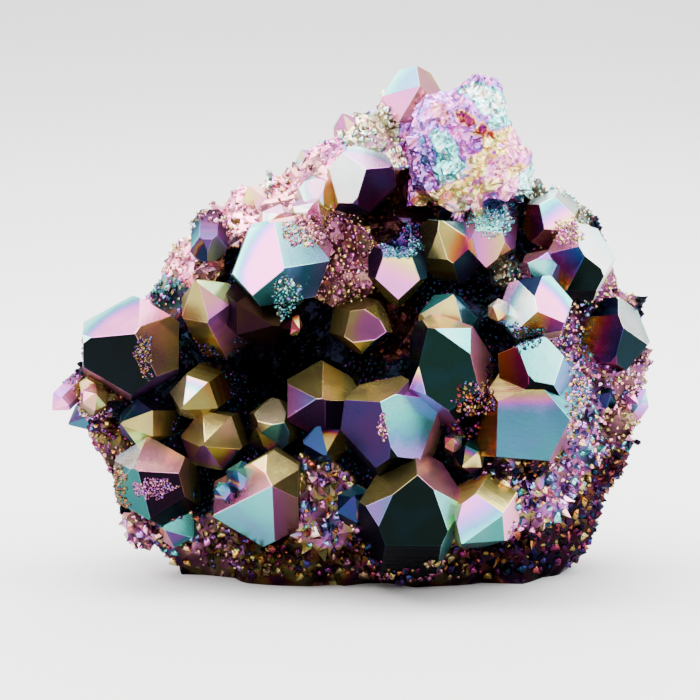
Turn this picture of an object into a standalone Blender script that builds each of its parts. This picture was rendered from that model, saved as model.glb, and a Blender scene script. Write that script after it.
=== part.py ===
"""Aura quartz cluster: quartz points and druzy grown together on a broken lump of matrix.

The script works in millimetres and writes metres. +Z is up, the crystal side looks towards -Y,
and the origin lies under the middle of the bounding box. The whole cluster is one grown piece.
"""
import math
import random

import bmesh
import bpy
from mathutils import Matrix, Vector, noise
from mathutils.bvhtree import BVHTree

MM = 0.001                     # one millimetre in metres
SEED = 7

# Quartz habit: the rhombohedral end faces stand 51.8 degrees from the long axis.
END_FACE_ANGLE = math.radians(51.8)
HEX_INRADIUS = math.sqrt(3.0) / 2.0
SIDE_SPREAD = 0.07             # how unequal the six prism faces are
START_MARGIN = 1.6             # the blank each crystal is cut from, over its radius

# Matrix lump: outline seen from the front, as (x, z) in mm, anticlockwise from the right.
MATRIX_OUTLINE = [
    (29.2, 20.0), (28.4, 24.0), (25.8, 28.5), (25.2, 32.0), (23.6, 35.2), (20.6, 37.6),
    (17.4, 40.6), (15.4, 44.6), (13.6, 47.2), (9.5, 47.5), (5.5, 47.0), (2.0, 45.8), (-2.0, 43.8),
    (-5.5, 40.8), (-9.0, 37.9), (-12.0, 36.8), (-14.8, 34.3), (-16.8, 32.4), (-18.8, 30.3),
    (-21.2, 28.0), (-23.0, 26.4), (-25.4, 25.0), (-26.4, 21.5), (-27.2, 17.0), (-26.6, 13.0),
    (-25.0, 8.8), (-22.8, 5.0), (-20.6, 1.5), (-17.4, -2.5), (0.0, -4.0), (19.0, -3.0),
    (22.4, 0.5), (24.6, 4.0), (26.2, 8.0), (27.8, 11.5), (29.4, 15.5),
]
MATRIX_CENTRE = (1.0, 21.0)
MATRIX_RIM_Y = 3.0
MATRIX_BACK_Y = 18.5

# Depth of the matrix behind the crystals: (x, z, y) in mm.
FRONT_DEPTHS = [
    (-21.0, 25.0, -2.5), (-20.5, 12.0, -6.5), (-7.0, 31.5, -6.0), (4.5, 31.0, -4.5),
    (-2.5, 20.0, -4.0), (8.5, 25.0, -10.5), (3.5, 18.5, -10.5), (6.0, 10.5, -12.5),
    (11.0, 7.5, -13.0), (16.0, 17.0, -10.5), (17.5, 26.5, -9.5), (-8.5, 9.5, -9.5),
    (-14.5, 14.5, -4.5), (-17.0, 18.5, -3.0), (-8.5, 16.0, -3.0), (-14.5, 29.0, -3.0),
    (22.5, 32.5, -3.5), (26.0, 24.5, 0.5), (19.5, 35.0, -1.0), (16.5, 31.5, -4.5),
    (6.5, 46.0, 2.0), (2.5, 40.0, -2.5), (-9.5, 22.0, 1.5), (-12.0, 25.0, 0.0),
    (5.5, 37.0, -0.5), (4.4, 34.6, -8.0), (13.5, 11.0, -14.0),
    (11.0, 33.0, -2.5), (-4.5, 7.5, -11.0), (17.0, 8.5, -12.0),
    (22.0, 14.5, -7.0), (26.5, 14.5, -0.5), (-22.5, 17.0, -3.0), (0.5, 27.0, -3.5),
    (-3.0, 35.5, -3.0), (-18.0, 5.0, -3.5), (0.0, 2.0, -9.0), (14.0, 2.5, -9.0),
]
FRONT_BLEND_POWER = 3.5
RIM_POWER = 3.2                # how square the shoulder between front and rim is

# Breaks on the back, flattened onto planes: (point, outward direction), in mm.
BACK_BREAKS = [
    ((4.0, 17.0, 20.0), (0.10, 1.0, 0.05)),
    ((-14.0, 12.5, 22.0), (-0.62, 1.0, 0.22)),
    ((17.0, 13.0, 18.0), (0.66, 1.0, -0.12)),
    ((6.0, 11.0, 38.0), (0.12, 1.0, 0.85)),
    ((-4.0, 13.0, 6.5), (-0.10, 1.0, -0.62)),
    ((22.0, 8.0, 31.0), (0.85, 0.72, 0.52)),
    ((-19.0, 7.0, 11.0), (-0.90, 0.60, -0.55)),
]
BREAK_FLATNESS = 0.86
BLOCK_FLATNESS = 0.94

# Knobs of the matrix that carry crystals near its edge: (x, y, z, radius), in mm.
KNOBS = [
    (6.0, 4.6, 45.2, 3.5), (7.6, 7.2, 45.8, 3.7), (0.0, 4.0, 43.4, 2.8),
    (11.0, 4.6, 42.0, 4.2), (15.6, 2.6, 37.6, 3.6),
    (-9.5, 4.0, 36.2, 2.6), (-16.5, 3.4, 30.4, 2.4), (-24.6, 1.5, 21.0, 2.6), (-25.0, 1.5, 17.2, 2.4),
    (21.8, 2.8, 34.6, 3.0), (26.0, 4.0, 25.5, 3.0), (-20.6, -0.5, 6.0, 2.8), (26.2, 2.0, 15.0, 2.6),
]

# Smaller chips broken off the back and the foot, as ledges and flat scars: how many, then their
# reach, depth and deepest cut in mm.
MATRIX_CHIPS = (80, (3.2, 9.5), (0.5, 2.3), 1.7)
MATRIX_CHIP_LIMIT = 6.0        # chips stay behind this y, in mm
CHIP_FACING = 0.35             # least share of the surface normal towards the chipped side
CHIP_EDGE = 4.5                # how steeply a scar ends
CHIP_TURN = 0.42               # how far a chip's face may turn from the surface

ROUGHNESS_STEPS = [            # (size of the lumps in mm, height in mm)
    (9.0, 2.0),
    (3.4, 1.15),
    (1.5, 0.5),
]
RIDGE_SHARE = 0.55             # ridges and pits in each step of the roughness, and their means
RIDGE_MEAN = 0.55
PIT_SHARE = 0.75
PIT_MEAN = 0.45

# The fractured block at the upper right.
BLOCK_OUTLINE = [
    (17.4, 41.5), (18.3, 38.9), (15.3, 37.9), (12.5, 37.2), (9.2, 36.6), (6.9, 38.2), (6.0, 40.4),
    (6.6, 45.0), (8.6, 48.2), (10.3, 48.7), (12.8, 48.9), (14.2, 48.2), (15.0, 47.1),
    (15.7, 45.0), (16.0, 43.0),
]
BLOCK_CENTRE = (11.8, 43.2)
BLOCK_FRONT_Y = -7.0
BLOCK_RIM_Y = -1.0
BLOCK_BACK_Y = 6.0
BLOCK_BREAKS = [
    ((11.0, -5.9, 43.5), (0.12, -1.0, 0.10)),
    ((15.2, -3.4, 44.5), (0.85, -0.70, 0.20)),
    ((8.6, -3.6, 47.6), (-0.30, -0.70, 0.90)),
    ((7.4, -3.6, 41.0), (-0.90, -0.70, -0.10)),
    ((12.0, 3.6, 44.0), (0.10, 1.0, 0.35)),
    ((15.6, 2.4, 42.0), (0.80, 0.70, 0.0)),
    ((11.0, -4.4, 38.4), (-0.10, -0.90, -0.70)),
]
RIPPLE_FOCUS = (19.5, -6.0, 50.0)
RIPPLE_PITCH = 1.9
RIPPLE_HEIGHT = 0.6

BLOCK_ROUGHNESS = [
    (5.0, 1.5),
    (2.2, 0.7),
]
BLOCK_FLATS = [                # (size of the flats in mm, how much they tilt)
    (5.2, 0.75),
    (2.3, 0.55),
]
FLAT_SCATTER = 17.3            # spreads the tilts of neighbouring flats

# Druzy patches: (a point inside the patch, half size across and up, viewing direction, how many,
# smallest and largest radius), in mm.
DRUZY_PATCHES = [
    ((-4.5, 0.0, 7.6), (5.0, 5.0), (0, 1, 0), 23, 0.55, 1.05),
    ((17.0, 0.0, 8.8), (4.5, 5.5), (0, 1, 0.1), 20, 0.55, 0.95),
    ((22.0, 0.0, 14.5), (2.6, 9.5), (-0.3, 1, 0), 20, 0.5, 0.85),
    ((25.5, 0.0, 12.5), (2.5, 4.5), (-0.7, 1, 0), 10, 0.5, 0.9),
    ((-2.5, 0.0, 33.0), (4.0, 5.0), (0, 1, 0), 15, 0.45, 0.8),
    ((1.0, 0.0, 44.5), (4.5, 2.4), (0, 1, -0.4), 10, 0.5, 0.9),
    ((-18.5, 0.0, 30.0), (2.6, 2.6), (0.2, 1, -0.2), 8, 0.45, 0.8),
    ((-16.0, 0.0, 24.0), (1.6, 3.0), (0, 1, 0), 5, 0.45, 0.7),
    ((-12.5, 0.0, 18.5), (2.0, 1.8), (0, 1, 0), 5, 0.45, 0.7),
    ((11.0, 0.0, 19.0), (2.8, 3.0), (0, 1, 0), 10, 0.5, 0.8),
    ((-19.5, 0.0, 5.0), (3.4, 2.6), (0.2, 1, 0), 8, 0.7, 1.2),
    ((22.0, 0.0, 20.0), (2.0, 4.0), (0, 1, 0), 7, 0.5, 0.8),
    ((-22.0, 0.0, 20.5), (3.5, 2.0), (0.2, 1, 0), 8, 0.5, 0.9),
    ((6.0, 0.0, 3.5), (9.0, 2.6), (0, 1, 0.3), 10, 0.6, 1.0),
    ((-11.0, 0.0, 4.0), (5.0, 2.6), (0, 1, 0.3), 8, 0.6, 1.0),
    ((10.0, 4.0, 45.0), (9.0, 6.0), (0, 0.1, -1), 7, 0.8, 1.5),
    ((-10.0, 6.0, 36.0), (8.0, 5.0), (0.3, 0, -1), 8, 0.8, 1.6),
    ((27.0, 4.0, 20.0), (5.0, 8.0), (-1, 0.1, 0), 10, 0.8, 1.5),
    ((-25.0, 5.0, 18.0), (4.0, 7.0), (1, 0, 0), 9, 0.8, 1.5),
    ((2.0, 18.0, 26.0), (6.0, 4.0), (0.1, -1, 0), 7, 0.9, 1.7),
    ((-14.0, 15.0, 12.0), (4.0, 4.0), (0.4, -1, 0.1), 6, 0.9, 1.6),
    ((16.0, 15.0, 34.0), (4.0, 3.5), (-0.4, -1, -0.2), 6, 0.9, 1.6),
]
GRAIN_SUNK = 0.28              # share of a grain's height that is buried
GRAIN_SPACING = 1.25           # least distance between grains, over the radius
GRAIN_CLEARANCE = 0.3          # mm between a grain's root and a crystal in front of it
GRAIN_LOWEST_Z = 1.6
GRAIN_TRIES = 8                # places tried for each grain wanted
GRAIN_FACING = 0.5             # how much a grain turns towards the open side of its patch
GRAIN_WANDER = 0.45
GRAIN_HEIGHTS = (1.35, 1.8)    # least and most height over the radius
GRAIN_SIDES = (4, 4, 5)        # four-sided grains are twice as common
RAY_START = 80.0               # mm outside the lump, where the search for its surface starts

MATRIX_SUBDIVISIONS = 6
BLOCK_SUBDIVISIONS = 6
LUMP_GRID = 0.45               # mm, the grid the lumps are rebuilt on
MATRIX_FACES = 1250            # triangles kept on the matrix lump
BLOCK_FACES = 560
WELD = 0.001                   # mm
NODE_NAME = "aura_quartz_cluster"

# Face size habits: how far each of the six end faces stands out, over the radius. A face at 0
# passes through the tip, the others are smaller or missing.
EVEN = (0.0, 0.04, 0.0, 0.06, 0.0, 0.04)
THREE = (0.0, 0.42, 0.0, 0.42, 0.0, 0.42)
SOFT_THREE = (0.0, 0.16, 0.0, 0.16, 0.0, 0.16)

# Crystals: tip (x, y, z) in mm, lean and tilt of the axis, turn of the first end face,
# radius and length in mm, habit. Lean is measured in the front plane anticlockwise from +X,
# tilt from the direction the crystal side faces.
LOOK_UP = 8.0                  # degrees that the crystal side faces above level
CRYSTALS = {
    "left_large": ((-21.0, -10.0, 25.6), 65, 10, 0, 5.1, 13, (0.0, 0.07, 0.0, 0.33, 0.0, 0.5)),
    "left_lower": ((-20.7, -12.0, 12.5), 138, 17, 60, 4.25, 12, (0.0, 0.08, 0.12, 0.0, 0.0, 0.5)),
    "upper_large": ((-6.6, -14.0, 32.2), 0, 4, 40, 5.2, 12, (0.03, 0.4, 0.0, 0.4, 0.0, 0.0)),
    "upper_large_twin": ((-5.9, -11.6, 32.9), 0, 4, 40, 5.0, 12, SOFT_THREE),
    "under_upper": ((-7.0, -12.0, 26.6), 320, 22, 0, 3.6, 11, EVEN),
    "under_sliver": ((-5.1, -9.5, 25.9), 330, 40, 20, 1.2, 5, EVEN),
    "upper_left": ((-15.2, -7.0, 30.4), 115, 44, 4, 2.9, 9, EVEN),
    "left_small_dark": ((-14.2, -5.0, 32.0), 270, 44, 30, 1.8, 6, SOFT_THREE),
    "left_back": ((-11.5, -1.0, 35.8), 100, 30, 15, 1.9, 7, EVEN),
    "rim_pale": ((-6.8, -5.0, 36.8), 60, 24, 0, 1.9, 7, EVEN),
    "rim_lilac": ((-3.5, -4.5, 37.9), 70, 20, 20, 2.2, 7, EVEN),
    "rim_far": ((-10.3, 0.5, 39.0), 120, 50, 0, 1.7, 6, EVEN),
    "rim_high": ((-5.1, 0.5, 42.6), 120, 55, 0, 1.6, 6, EVEN),
    "crown_left": ((-1.0, 0.5, 46.2), 110, 55, 0, 1.7, 6, EVEN),
    "mid_left_pale": ((-16.7, -7.0, 17.8), 219, 30, 20, 2.7, 9, EVEN),
    "mid_left_tan": ((-14.5, -9.0, 14.5), 200, 12, 20, 3.1, 9, EVEN),
    "mid_gold": ((-6.7, -7.0, 16.4), 20, 16, 10, 2.6, 8, SOFT_THREE),
    "mid_grey": ((-9.5, -6.0, 15.6), 150, 28, 0, 2.3, 8, EVEN),
    "centre_left": ((-2.9, -11.0, 19.4), 90, 4, 0, 3.9, 12, (0.3, 0.0, 0.0, 0.06, 0.0, 0.05)),
    "centre_gold": ((3.3, -8.0, 25.5), 343, 33, 45, 2.8, 9, SOFT_THREE),
    "shield": ((4.4, -10.0, 28.9), 270, 44, 90, 3.0, 9, THREE),
    "upper_mid_gold": ((8.4, -6.5, 36.2), 108, 38, 315, 3.1, 9, (0.0, 0.05, 0.0, 0.2, 0.0, 0.1)),
    "upper_mid_teal": ((13.0, -6.5, 31.6), 262, 50, 90, 2.7, 8, SOFT_THREE),
    "centre_tall": ((7.1, -17.0, 27.1), 126, 37, 358, 4.2, 14, (0.05, 0.0, 0.2, 0.0, 0.3, 0.0)),
    "tall_back": ((9.6, -11.5, 29.6), 80, 42, 30, 3.0, 9, EVEN),
    "centre_teal": ((2.6, -18.0, 20.2), 112, 23, 100, 4.9, 14, (0.0, 0.5, 0.0, 0.3, 0.0, 0.14)),
    "bottom_large": ((6.1, -19.0, 13.4), 85, 28, 30, 5.1, 14, (0.0, 0.3, 0.0, 0.2, 0.0, 0.14)),
    "bottom_small": ((10.3, -18.0, 6.6), 232, 45, 6, 3.4, 7, (0.02, 0.0, 0.2, 0.0, 0.2, 0.0)),
    "right_top": ((18.8, -4.0, 35.1), 236, 22, 50, 2.7, 7, THREE),
    "right_large": ((22.2, -8.0, 33.4), 90, 12, 30, 3.7, 11, (0.0, 0.4, 0.1, 0.0, 0.1, 0.3)),
    "right_step": ((17.0, -7.0, 32.1), 158, 36, 330, 2.15, 7, SOFT_THREE),
    "right_pink": ((17.5, -15.0, 28.4), 120, 5, 40, 3.9, 12, (0.0, 0.15, 0.0, 0.3, 0.0, 0.3)),
    "right_cyan": ((15.6, -15.5, 25.2), 124, 42, 100, 3.3, 11, (0.0, 0.4, 0.0, 0.3, 0.0, 0.3)),
    "lower_right": ((13.6, -17.0, 14.8), 233, 44, 45, 4.9, 12, (0.0, 0.35, 0.0, 0.4, 0.0, 0.35)),
    "far_right": ((26.7, -3.0, 25.5), 61, 17, 200, 3.9, 12, (0.0, 0.3, 0.05, 0.0, 0.4, 0.2)),
    "far_right_thin": ((29.6, 2.0, 18.4), 58, 62, 0, 1.3, 8, EVEN),
    "far_right_low": ((25.6, -2.0, 18.6), 20, 22, 10, 2.5, 9, EVEN),
    "crown": ((6.6, -1.0, 49.0), 60, 17, 30, 3.2, 6.5, (0.0, 0.3, 0.0, 0.0, 0.0, 0.3)),
    "crown_violet": ((1.3, -7.5, 41.3), 60, 12, 75, 3.35, 9, (0.0, 0.4, 0.0, 0.3, 0.0, 0.3)),
    "crown_white": ((-2.6, -4.0, 39.8), 60, 30, 200, 2.1, 6, SOFT_THREE),
    "lower_left_blue": ((-7.7, -15.0, 11.6), 220, 2, 59, 5.5, 13, (0.0, 0.1, 0.0, 0.0, 0.0, 0.0)),
    "lower_blue_bud": ((-11.2, -12.0, 12.6), 120, 25, 0, 1.5, 6, EVEN),
    "lower_blue_seed": ((-13.2, -12.0, 10.7), 160, 30, 20, 1.0, 6, EVEN),
    "left_point": ((-22.7, -7.0, 16.3), 180, 36, 0, 2.4, 8, EVEN),
    "edge_point": ((-30.1, 0.0, 16.5), 225, 74, 0, 1.25, 8, EVEN),
    "edge_low": ((-28.6, 0.5, 15.0), 205, 74, 20, 1.5, 7, EVEN),
    "edge_yellow": ((-26.4, -2.5, 20.1), 120, 30, 10, 1.3, 6, EVEN),
    "edge_white": ((-26.9, -2.5, 17.3), 200, 40, 40, 1.3, 6, EVEN),
    "edge_gold": ((-25.3, -4.5, 18.9), 60, 20, 0, 1.4, 7, EVEN),
    "gap_tan": ((10.5, -14.0, 13.3), 230, 30, 10, 1.6, 6, EVEN),
    "gap_seed": ((9.7, -13.0, 15.9), 90, 20, 0, 1.0, 5, EVEN),
    "right_seed": ((13.4, -12.0, 28.5), 150, 30, 0, 1.1, 5, EVEN),
    "upper_seed": ((3.7, -4.0, 35.3), 90, 20, 0, 0.9, 5, EVEN),
    "centre_dark": ((-2.5, -10.5, 13.8), 270, 20, 20, 2.4, 8, EVEN),
    "centre_blue": ((0.2, -13.0, 10.2), 100, 20, 0, 1.9, 7, EVEN),
    "lower_left_pale": ((-18.8, -5.5, 5.6), 200, 20, 0, 2.7, 8, EVEN),
    "lower_left_edge": ((-21.6, -3.5, 5.6), 180, 40, 20, 1.9, 7, EVEN),
    "side_left": ((-27.6, 4.0, 23.0), 175, 85, 10, 2.4, 8, SOFT_THREE),
    "side_left_low": ((-26.0, 6.0, 11.5), 190, 95, 30, 2.0, 7, EVEN),
    "side_right": ((29.6, 6.0, 24.0), 5, 85, 0, 2.6, 8, SOFT_THREE),
    "side_right_low": ((27.6, 5.0, 11.0), 350, 90, 20, 2.1, 7, EVEN),
    "side_right_high": ((24.6, 8.0, 34.0), 40, 85, 20, 2.2, 7, SOFT_THREE),
    "top_back": ((2.0, 6.0, 46.3), 95, 80, 0, 2.3, 8, SOFT_THREE),
    "top_left_back": ((-9.0, 7.0, 38.0), 120, 85, 0, 2.4, 8, EVEN),
    "left_back_high": ((-19.0, 7.0, 30.5), 150, 85, 15, 2.3, 7, SOFT_THREE),
    "back_middle": ((5.0, 19.6, 27.0), 60, 158, 0, 2.9, 8, SOFT_THREE),
    "back_low": ((-11.0, 17.8, 15.0), 200, 150, 20, 2.3, 7, EVEN),
    "back_high": ((11.0, 16.2, 37.0), 70, 140, 0, 2.4, 8, SOFT_THREE),
}

# Prism faces that stand closer or further out than in an even crystal, counted like the habits.
SIDES = {
    "left_large": (1.0, 0.95, 0.94, 1.22, 1.04, 1.0),
    "upper_large": (1.0, 1.0, 1.0, 0.85, 0.65, 0.85),
    "upper_large_twin": (1.0, 1.0, 1.0, 0.85, 0.65, 0.85),
    "centre_tall": (0.86, 0.9, 1.0, 1.0, 1.28, 1.26),
    "lower_left_blue": (0.6, 0.6, 1.35, 1.25, 1.1, 0.5),
    "lower_right": (1.1, 1.0, 0.95, 1.0, 1.1, 1.0),
    "right_pink": (1.0, 1.0, 1.0, 0.9, 0.62, 0.85),
}
EVEN_SIDES = (1.0, 1.0, 1.0, 1.0, 1.0, 1.0)


def reset_scene():
    """Empty the scene of what a new file holds."""
    for item in list(bpy.data.objects):
        bpy.data.objects.remove(item, do_unlink=True)


def axis_direction(lean, tilt):
    """Direction of a crystal's long axis from its lean and tilt in degrees."""
    lean_rad = math.radians(lean)
    tilt_rad = math.radians(tilt)
    across = math.sin(tilt_rad)
    level = Vector((across * math.cos(lean_rad), -math.cos(tilt_rad), across * math.sin(lean_rad)))
    return Matrix.Rotation(math.radians(-LOOK_UP), 3, "X") @ level


def crystal_frame(axis):
    """Two directions square to the axis, the first as near to +X as it can be."""
    guide = Vector((1.0, 0.0, 0.0))
    if abs(axis.x) > 0.96:
        guide = Vector((0.0, -1.0, 0.0))
    first = (guide - axis * axis.dot(guide)).normalized()
    return first, axis.cross(first)


def cut_half_space(bm, point, normal):
    """Remove what lies beyond a plane and close the cut."""
    geometry = bm.verts[:] + bm.edges[:] + bm.faces[:]
    bmesh.ops.bisect_plane(bm, geom=geometry, dist=1e-5, plane_co=point, plane_no=normal, clear_outer=True)
    rim = [edge for edge in bm.edges if edge.is_boundary]
    if rim:
        bmesh.ops.holes_fill(bm, edges=rim, sides=0)


def crystal(tip, lean, tilt, turn, radius, length, habit, sides, rng):
    """One quartz point: a six-sided prism under six end faces, as a closed bmesh."""
    tip = Vector(tip)
    axis = axis_direction(lean, tilt)
    first, second = crystal_frame(axis)
    bm = bmesh.new()
    bmesh.ops.create_cube(bm, size=1.0)
    width = 2.0 * radius * START_MARGIN
    middle = tip - axis * (length * 0.5 - radius * 0.5)
    frame = Matrix((first * width, second * width, axis * (length + radius))).transposed().to_4x4()
    bmesh.ops.transform(bm, matrix=Matrix.Translation(middle) @ frame, verts=bm.verts)
    for index in range(6):
        angle = math.radians(turn + 60.0 * index)
        side = first * math.cos(angle) + second * math.sin(angle)
        reach = radius * HEX_INRADIUS * sides[index] * rng.uniform(1.0 - SIDE_SPREAD, 1.0 + SIDE_SPREAD)
        cut_half_space(bm, tip + side * reach, side)
        end = side * math.sin(END_FACE_ANGLE) + axis * math.cos(END_FACE_ANGLE)
        cut_half_space(bm, tip + end * (habit[index] * radius), end)
    bmesh.ops.recalc_face_normals(bm, faces=bm.faces)
    return bm


def outline_reach(outline, centre, angle):
    """Distance from the centre to the outline in one direction of the front plane."""
    spokes = [(math.atan2(z - centre[1], x - centre[0]), math.hypot(x - centre[0], z - centre[1]))
              for x, z in outline]
    spokes.sort()
    spokes.insert(0, (spokes[-1][0] - 2.0 * math.pi, spokes[-1][1]))
    spokes.append((spokes[1][0] + 2.0 * math.pi, spokes[1][1]))
    for (a0, r0), (a1, r1) in zip(spokes, spokes[1:]):
        if a0 <= angle <= a1:
            share = (angle - a0) / max(a1 - a0, 1e-9)
            return r0 + (r1 - r0) * share
    return spokes[0][1]


def blended_depth(x, z, samples, power):
    """Depth at a point of the front, weighted towards the nearest samples."""
    total = 0.0
    weight_sum = 0.0
    for sample_x, sample_z, depth in samples:
        distance = math.hypot(x - sample_x, z - sample_z) + 0.6
        weight = distance ** -power
        total += depth * weight
        weight_sum += weight
    return total / weight_sum


def lump(outline, centre, front_depth, rim_y, back_y, subdivisions):
    """A closed lump that fills an outline, with its own front and back depths."""
    bm = bmesh.new()
    bmesh.ops.create_icosphere(bm, subdivisions=subdivisions, radius=1.0)
    for vert in bm.verts:
        direction = vert.co.normalized()
        spread = math.hypot(direction.x, direction.z)
        angle = math.atan2(direction.z, direction.x)
        reach = outline_reach(outline, centre, angle) * spread
        x = centre[0] + reach * math.cos(angle)
        z = centre[1] + reach * math.sin(angle)
        if direction.y < 0.0:
            swell = max(0.0, 1.0 - spread ** RIM_POWER) ** (1.0 / RIM_POWER)
            y = rim_y + (front_depth(x, z) - rim_y) * swell
        else:
            y = rim_y + (back_y - rim_y) * math.sqrt(max(0.0, 1.0 - spread ** 2))
        vert.co = Vector((x, y, z))
    return bm


def flatten_breaks(bm, breaks, flatness):
    """Press the surface onto the break planes, most of the way."""
    for point, direction in breaks:
        normal = Vector(direction).normalized()
        for vert in bm.verts:
            over = normal.dot(vert.co - Vector(point))
            if over > 0.0:
                vert.co -= normal * over * flatness


def chip(bm, open_side, chips, rng):
    """Break flat scars with stepped edges into the open side of a lump."""
    count, reaches, depths, deepest = chips
    for _ in range(count):
        place = rng.choice(open_side)
        turn = Vector((rng.uniform(-1, 1), rng.uniform(-1, 1), rng.uniform(-1, 1))) * CHIP_TURN
        normal = (place.normal + turn).normalized()
        reach = rng.uniform(*reaches)
        level = normal.dot(place.co) - rng.uniform(*depths) * reach / reaches[1]
        middle = place.co.copy()
        for vert in bm.verts:
            over = normal.dot(vert.co) - level
            inside = 1.0 - (vert.co - middle).length / reach
            if over > 0.0 and inside > 0.0:
                vert.co -= normal * min(over, deepest) * min(1.0, inside * CHIP_EDGE)


def roughen(bm, steps, shift):
    """Raise ridges and sink pits along the surface normal."""
    bm.normal_update()
    moves = []
    for vert in bm.verts:
        height = 0.0
        for size, amount in steps:
            sample = vert.co / size + shift
            ridge = 1.0 - 2.0 * abs(noise.noise(sample))
            cell = noise.voronoi(sample)[0][0]
            height += amount * (RIDGE_SHARE * (ridge - RIDGE_MEAN) + PIT_SHARE * (PIT_MEAN - cell))
        moves.append(vert.normal * height)
    for vert, move in zip(bm.verts, moves):
        vert.co += move


def ripple(bm, focus, pitch, height):
    """Curved steps of a shell-like fracture, spreading from one corner."""
    bm.normal_update()
    moves = []
    for vert in bm.verts:
        distance = (vert.co - Vector(focus)).length / pitch
        distance += 0.5 * noise.noise(vert.co / 4.0)
        step = distance - math.floor(distance)
        moves.append(vert.normal * (step - 0.5) * height)
    for vert, move in zip(bm.verts, moves):
        vert.co += move


def shatter(bm, steps, shift):
    """Tilted flats that meet at sharp edges, as on broken massive quartz."""
    bm.normal_update()
    moves = []
    for vert in bm.verts:
        height = 0.0
        for size, slope in steps:
            sample = vert.co / size + shift
            middle = noise.voronoi(sample)[1][0]
            tilt = noise.cell_vector(middle * FLAT_SCATTER) - Vector((0.5, 0.5, 0.5))
            height += size * slope * tilt.dot(sample - middle)
        moves.append(vert.normal * height)
    for vert, move in zip(bm.verts, moves):
        vert.co += move


def to_object(bm, name):
    """Put a bmesh in millimetres into a new object and free it."""
    mesh = bpy.data.meshes.new(name)
    bmesh.ops.triangulate(bm, faces=bm.faces)
    bm.to_mesh(mesh)
    bm.free()
    item = bpy.data.objects.new(name, mesh)
    bpy.context.scene.collection.objects.link(item)
    return item


def evaluated_copy(item):
    """A new mesh of an object with its modifiers applied."""
    graph = bpy.context.evaluated_depsgraph_get()
    return bpy.data.meshes.new_from_object(item.evaluated_get(graph), depsgraph=graph)


def thinned(item, face_count):
    """Rebuild a lump without folds, then keep about so many of its faces."""
    rebuilt = item.modifiers.new("rebuild", "REMESH")
    rebuilt.mode = "VOXEL"
    rebuilt.voxel_size = LUMP_GRID
    item.data = evaluated_copy(item)
    item.modifiers.clear()
    modifier = item.modifiers.new("thin", "DECIMATE")
    modifier.ratio = face_count / (2.0 * len(item.data.polygons))
    mesh = evaluated_copy(item)
    item.modifiers.clear()
    item.data = mesh


def fused(base, additions):
    """Join closed shells to a base with one exact union."""
    modifier = base.modifiers.new("grown", "BOOLEAN")
    modifier.operation = "UNION"
    modifier.solver = "EXACT"
    modifier.use_self = True
    modifier.object = additions
    mesh = evaluated_copy(base)
    base.modifiers.clear()
    base.data = mesh
    bpy.data.objects.remove(additions, do_unlink=True)


def surface_tree(item):
    """A ray-casting tree of an object's mesh."""
    bm = bmesh.new()
    bm.from_mesh(item.data)
    tree = BVHTree.FromBMesh(bm)
    bm.free()
    return tree


def append_shell(target, shell):
    """Move one closed bmesh into a bigger one."""
    mesh = bpy.data.meshes.new("shell")
    shell.to_mesh(mesh)
    shell.free()
    target.from_mesh(mesh)
    bpy.data.meshes.remove(mesh)


def all_crystals():
    """Every named quartz point as shells in one bmesh."""
    rng = random.Random(SEED)
    shells = bmesh.new()
    for name, (tip, lean, tilt, turn, radius, length, habit) in CRYSTALS.items():
        sides = SIDES.get(name, EVEN_SIDES)
        append_shell(shells, crystal(tip, lean, tilt, turn, radius, length, habit, sides, rng))
    return shells


def grain(location, normal, radius, height, sides, turn):
    """One small pyramid of the druzy, sunk into what it grows on."""
    bm = bmesh.new()
    bmesh.ops.create_cone(bm, cap_ends=True, segments=sides, radius1=radius, radius2=0.0, depth=height)
    upright = Vector((0.0, 0.0, 1.0)).rotation_difference(normal).to_matrix().to_4x4()
    place = Matrix.Translation(location + normal * height * (0.5 - GRAIN_SUNK))
    bmesh.ops.transform(bm, matrix=place @ upright @ Matrix.Rotation(turn, 4, "Z"), verts=bm.verts)
    return bm


def spaced(location, chosen, gap):
    """True when a place is far enough from every place chosen so far."""
    return all((location - other).length > gap for other in chosen)


def druzy(matrix_tree, crystal_tree):
    """Small crystals on the open patches of the matrix, as shells in one bmesh."""
    rng = random.Random(SEED + 1)
    shells = bmesh.new()
    chosen = []
    for centre, half_size, view, count, smallest, largest in DRUZY_PATCHES:
        look = Vector(view).normalized()
        across, upward = crystal_frame(-look)
        placed = 0
        for _ in range(count * GRAIN_TRIES):
            if placed >= count:
                break
            a = rng.uniform(-1.0, 1.0)
            b = rng.uniform(-1.0, 1.0)
            if a * a + b * b > 1.0:
                continue
            start = Vector(centre) + across * (a * half_size[0]) + upward * (b * half_size[1]) - look * RAY_START
            location, normal, _, distance = matrix_tree.ray_cast(start, look)
            if location is None or location.z < GRAIN_LOWEST_Z:
                continue
            cover = crystal_tree.ray_cast(start, look)
            if cover[0] is not None and cover[3] < distance + GRAIN_CLEARANCE:
                continue
            radius = rng.uniform(smallest, largest)
            if not spaced(location, chosen, radius * GRAIN_SPACING):
                continue
            wander = Vector((rng.uniform(-1, 1), rng.uniform(-1, 1), rng.uniform(-1, 1)))
            direction = (normal - look * GRAIN_FACING + wander * GRAIN_WANDER).normalized()
            height = radius * rng.uniform(*GRAIN_HEIGHTS)
            sides = rng.choice(GRAIN_SIDES)
            append_shell(shells, grain(location, direction, radius, height, sides, rng.uniform(0.0, 2.0 * math.pi)))
            chosen.append(location)
            placed += 1
    return shells


def cut_flat_base(item):
    """Cut the lump level at z = 0 so that it stands on the cut."""
    bm = bmesh.new()
    bm.from_mesh(item.data)
    cut_half_space(bm, Vector((0.0, 0.0, 0.0)), Vector((0.0, 0.0, -1.0)))
    bmesh.ops.triangulate(bm, faces=bm.faces)
    bm.to_mesh(item.data)
    bm.free()


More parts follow.
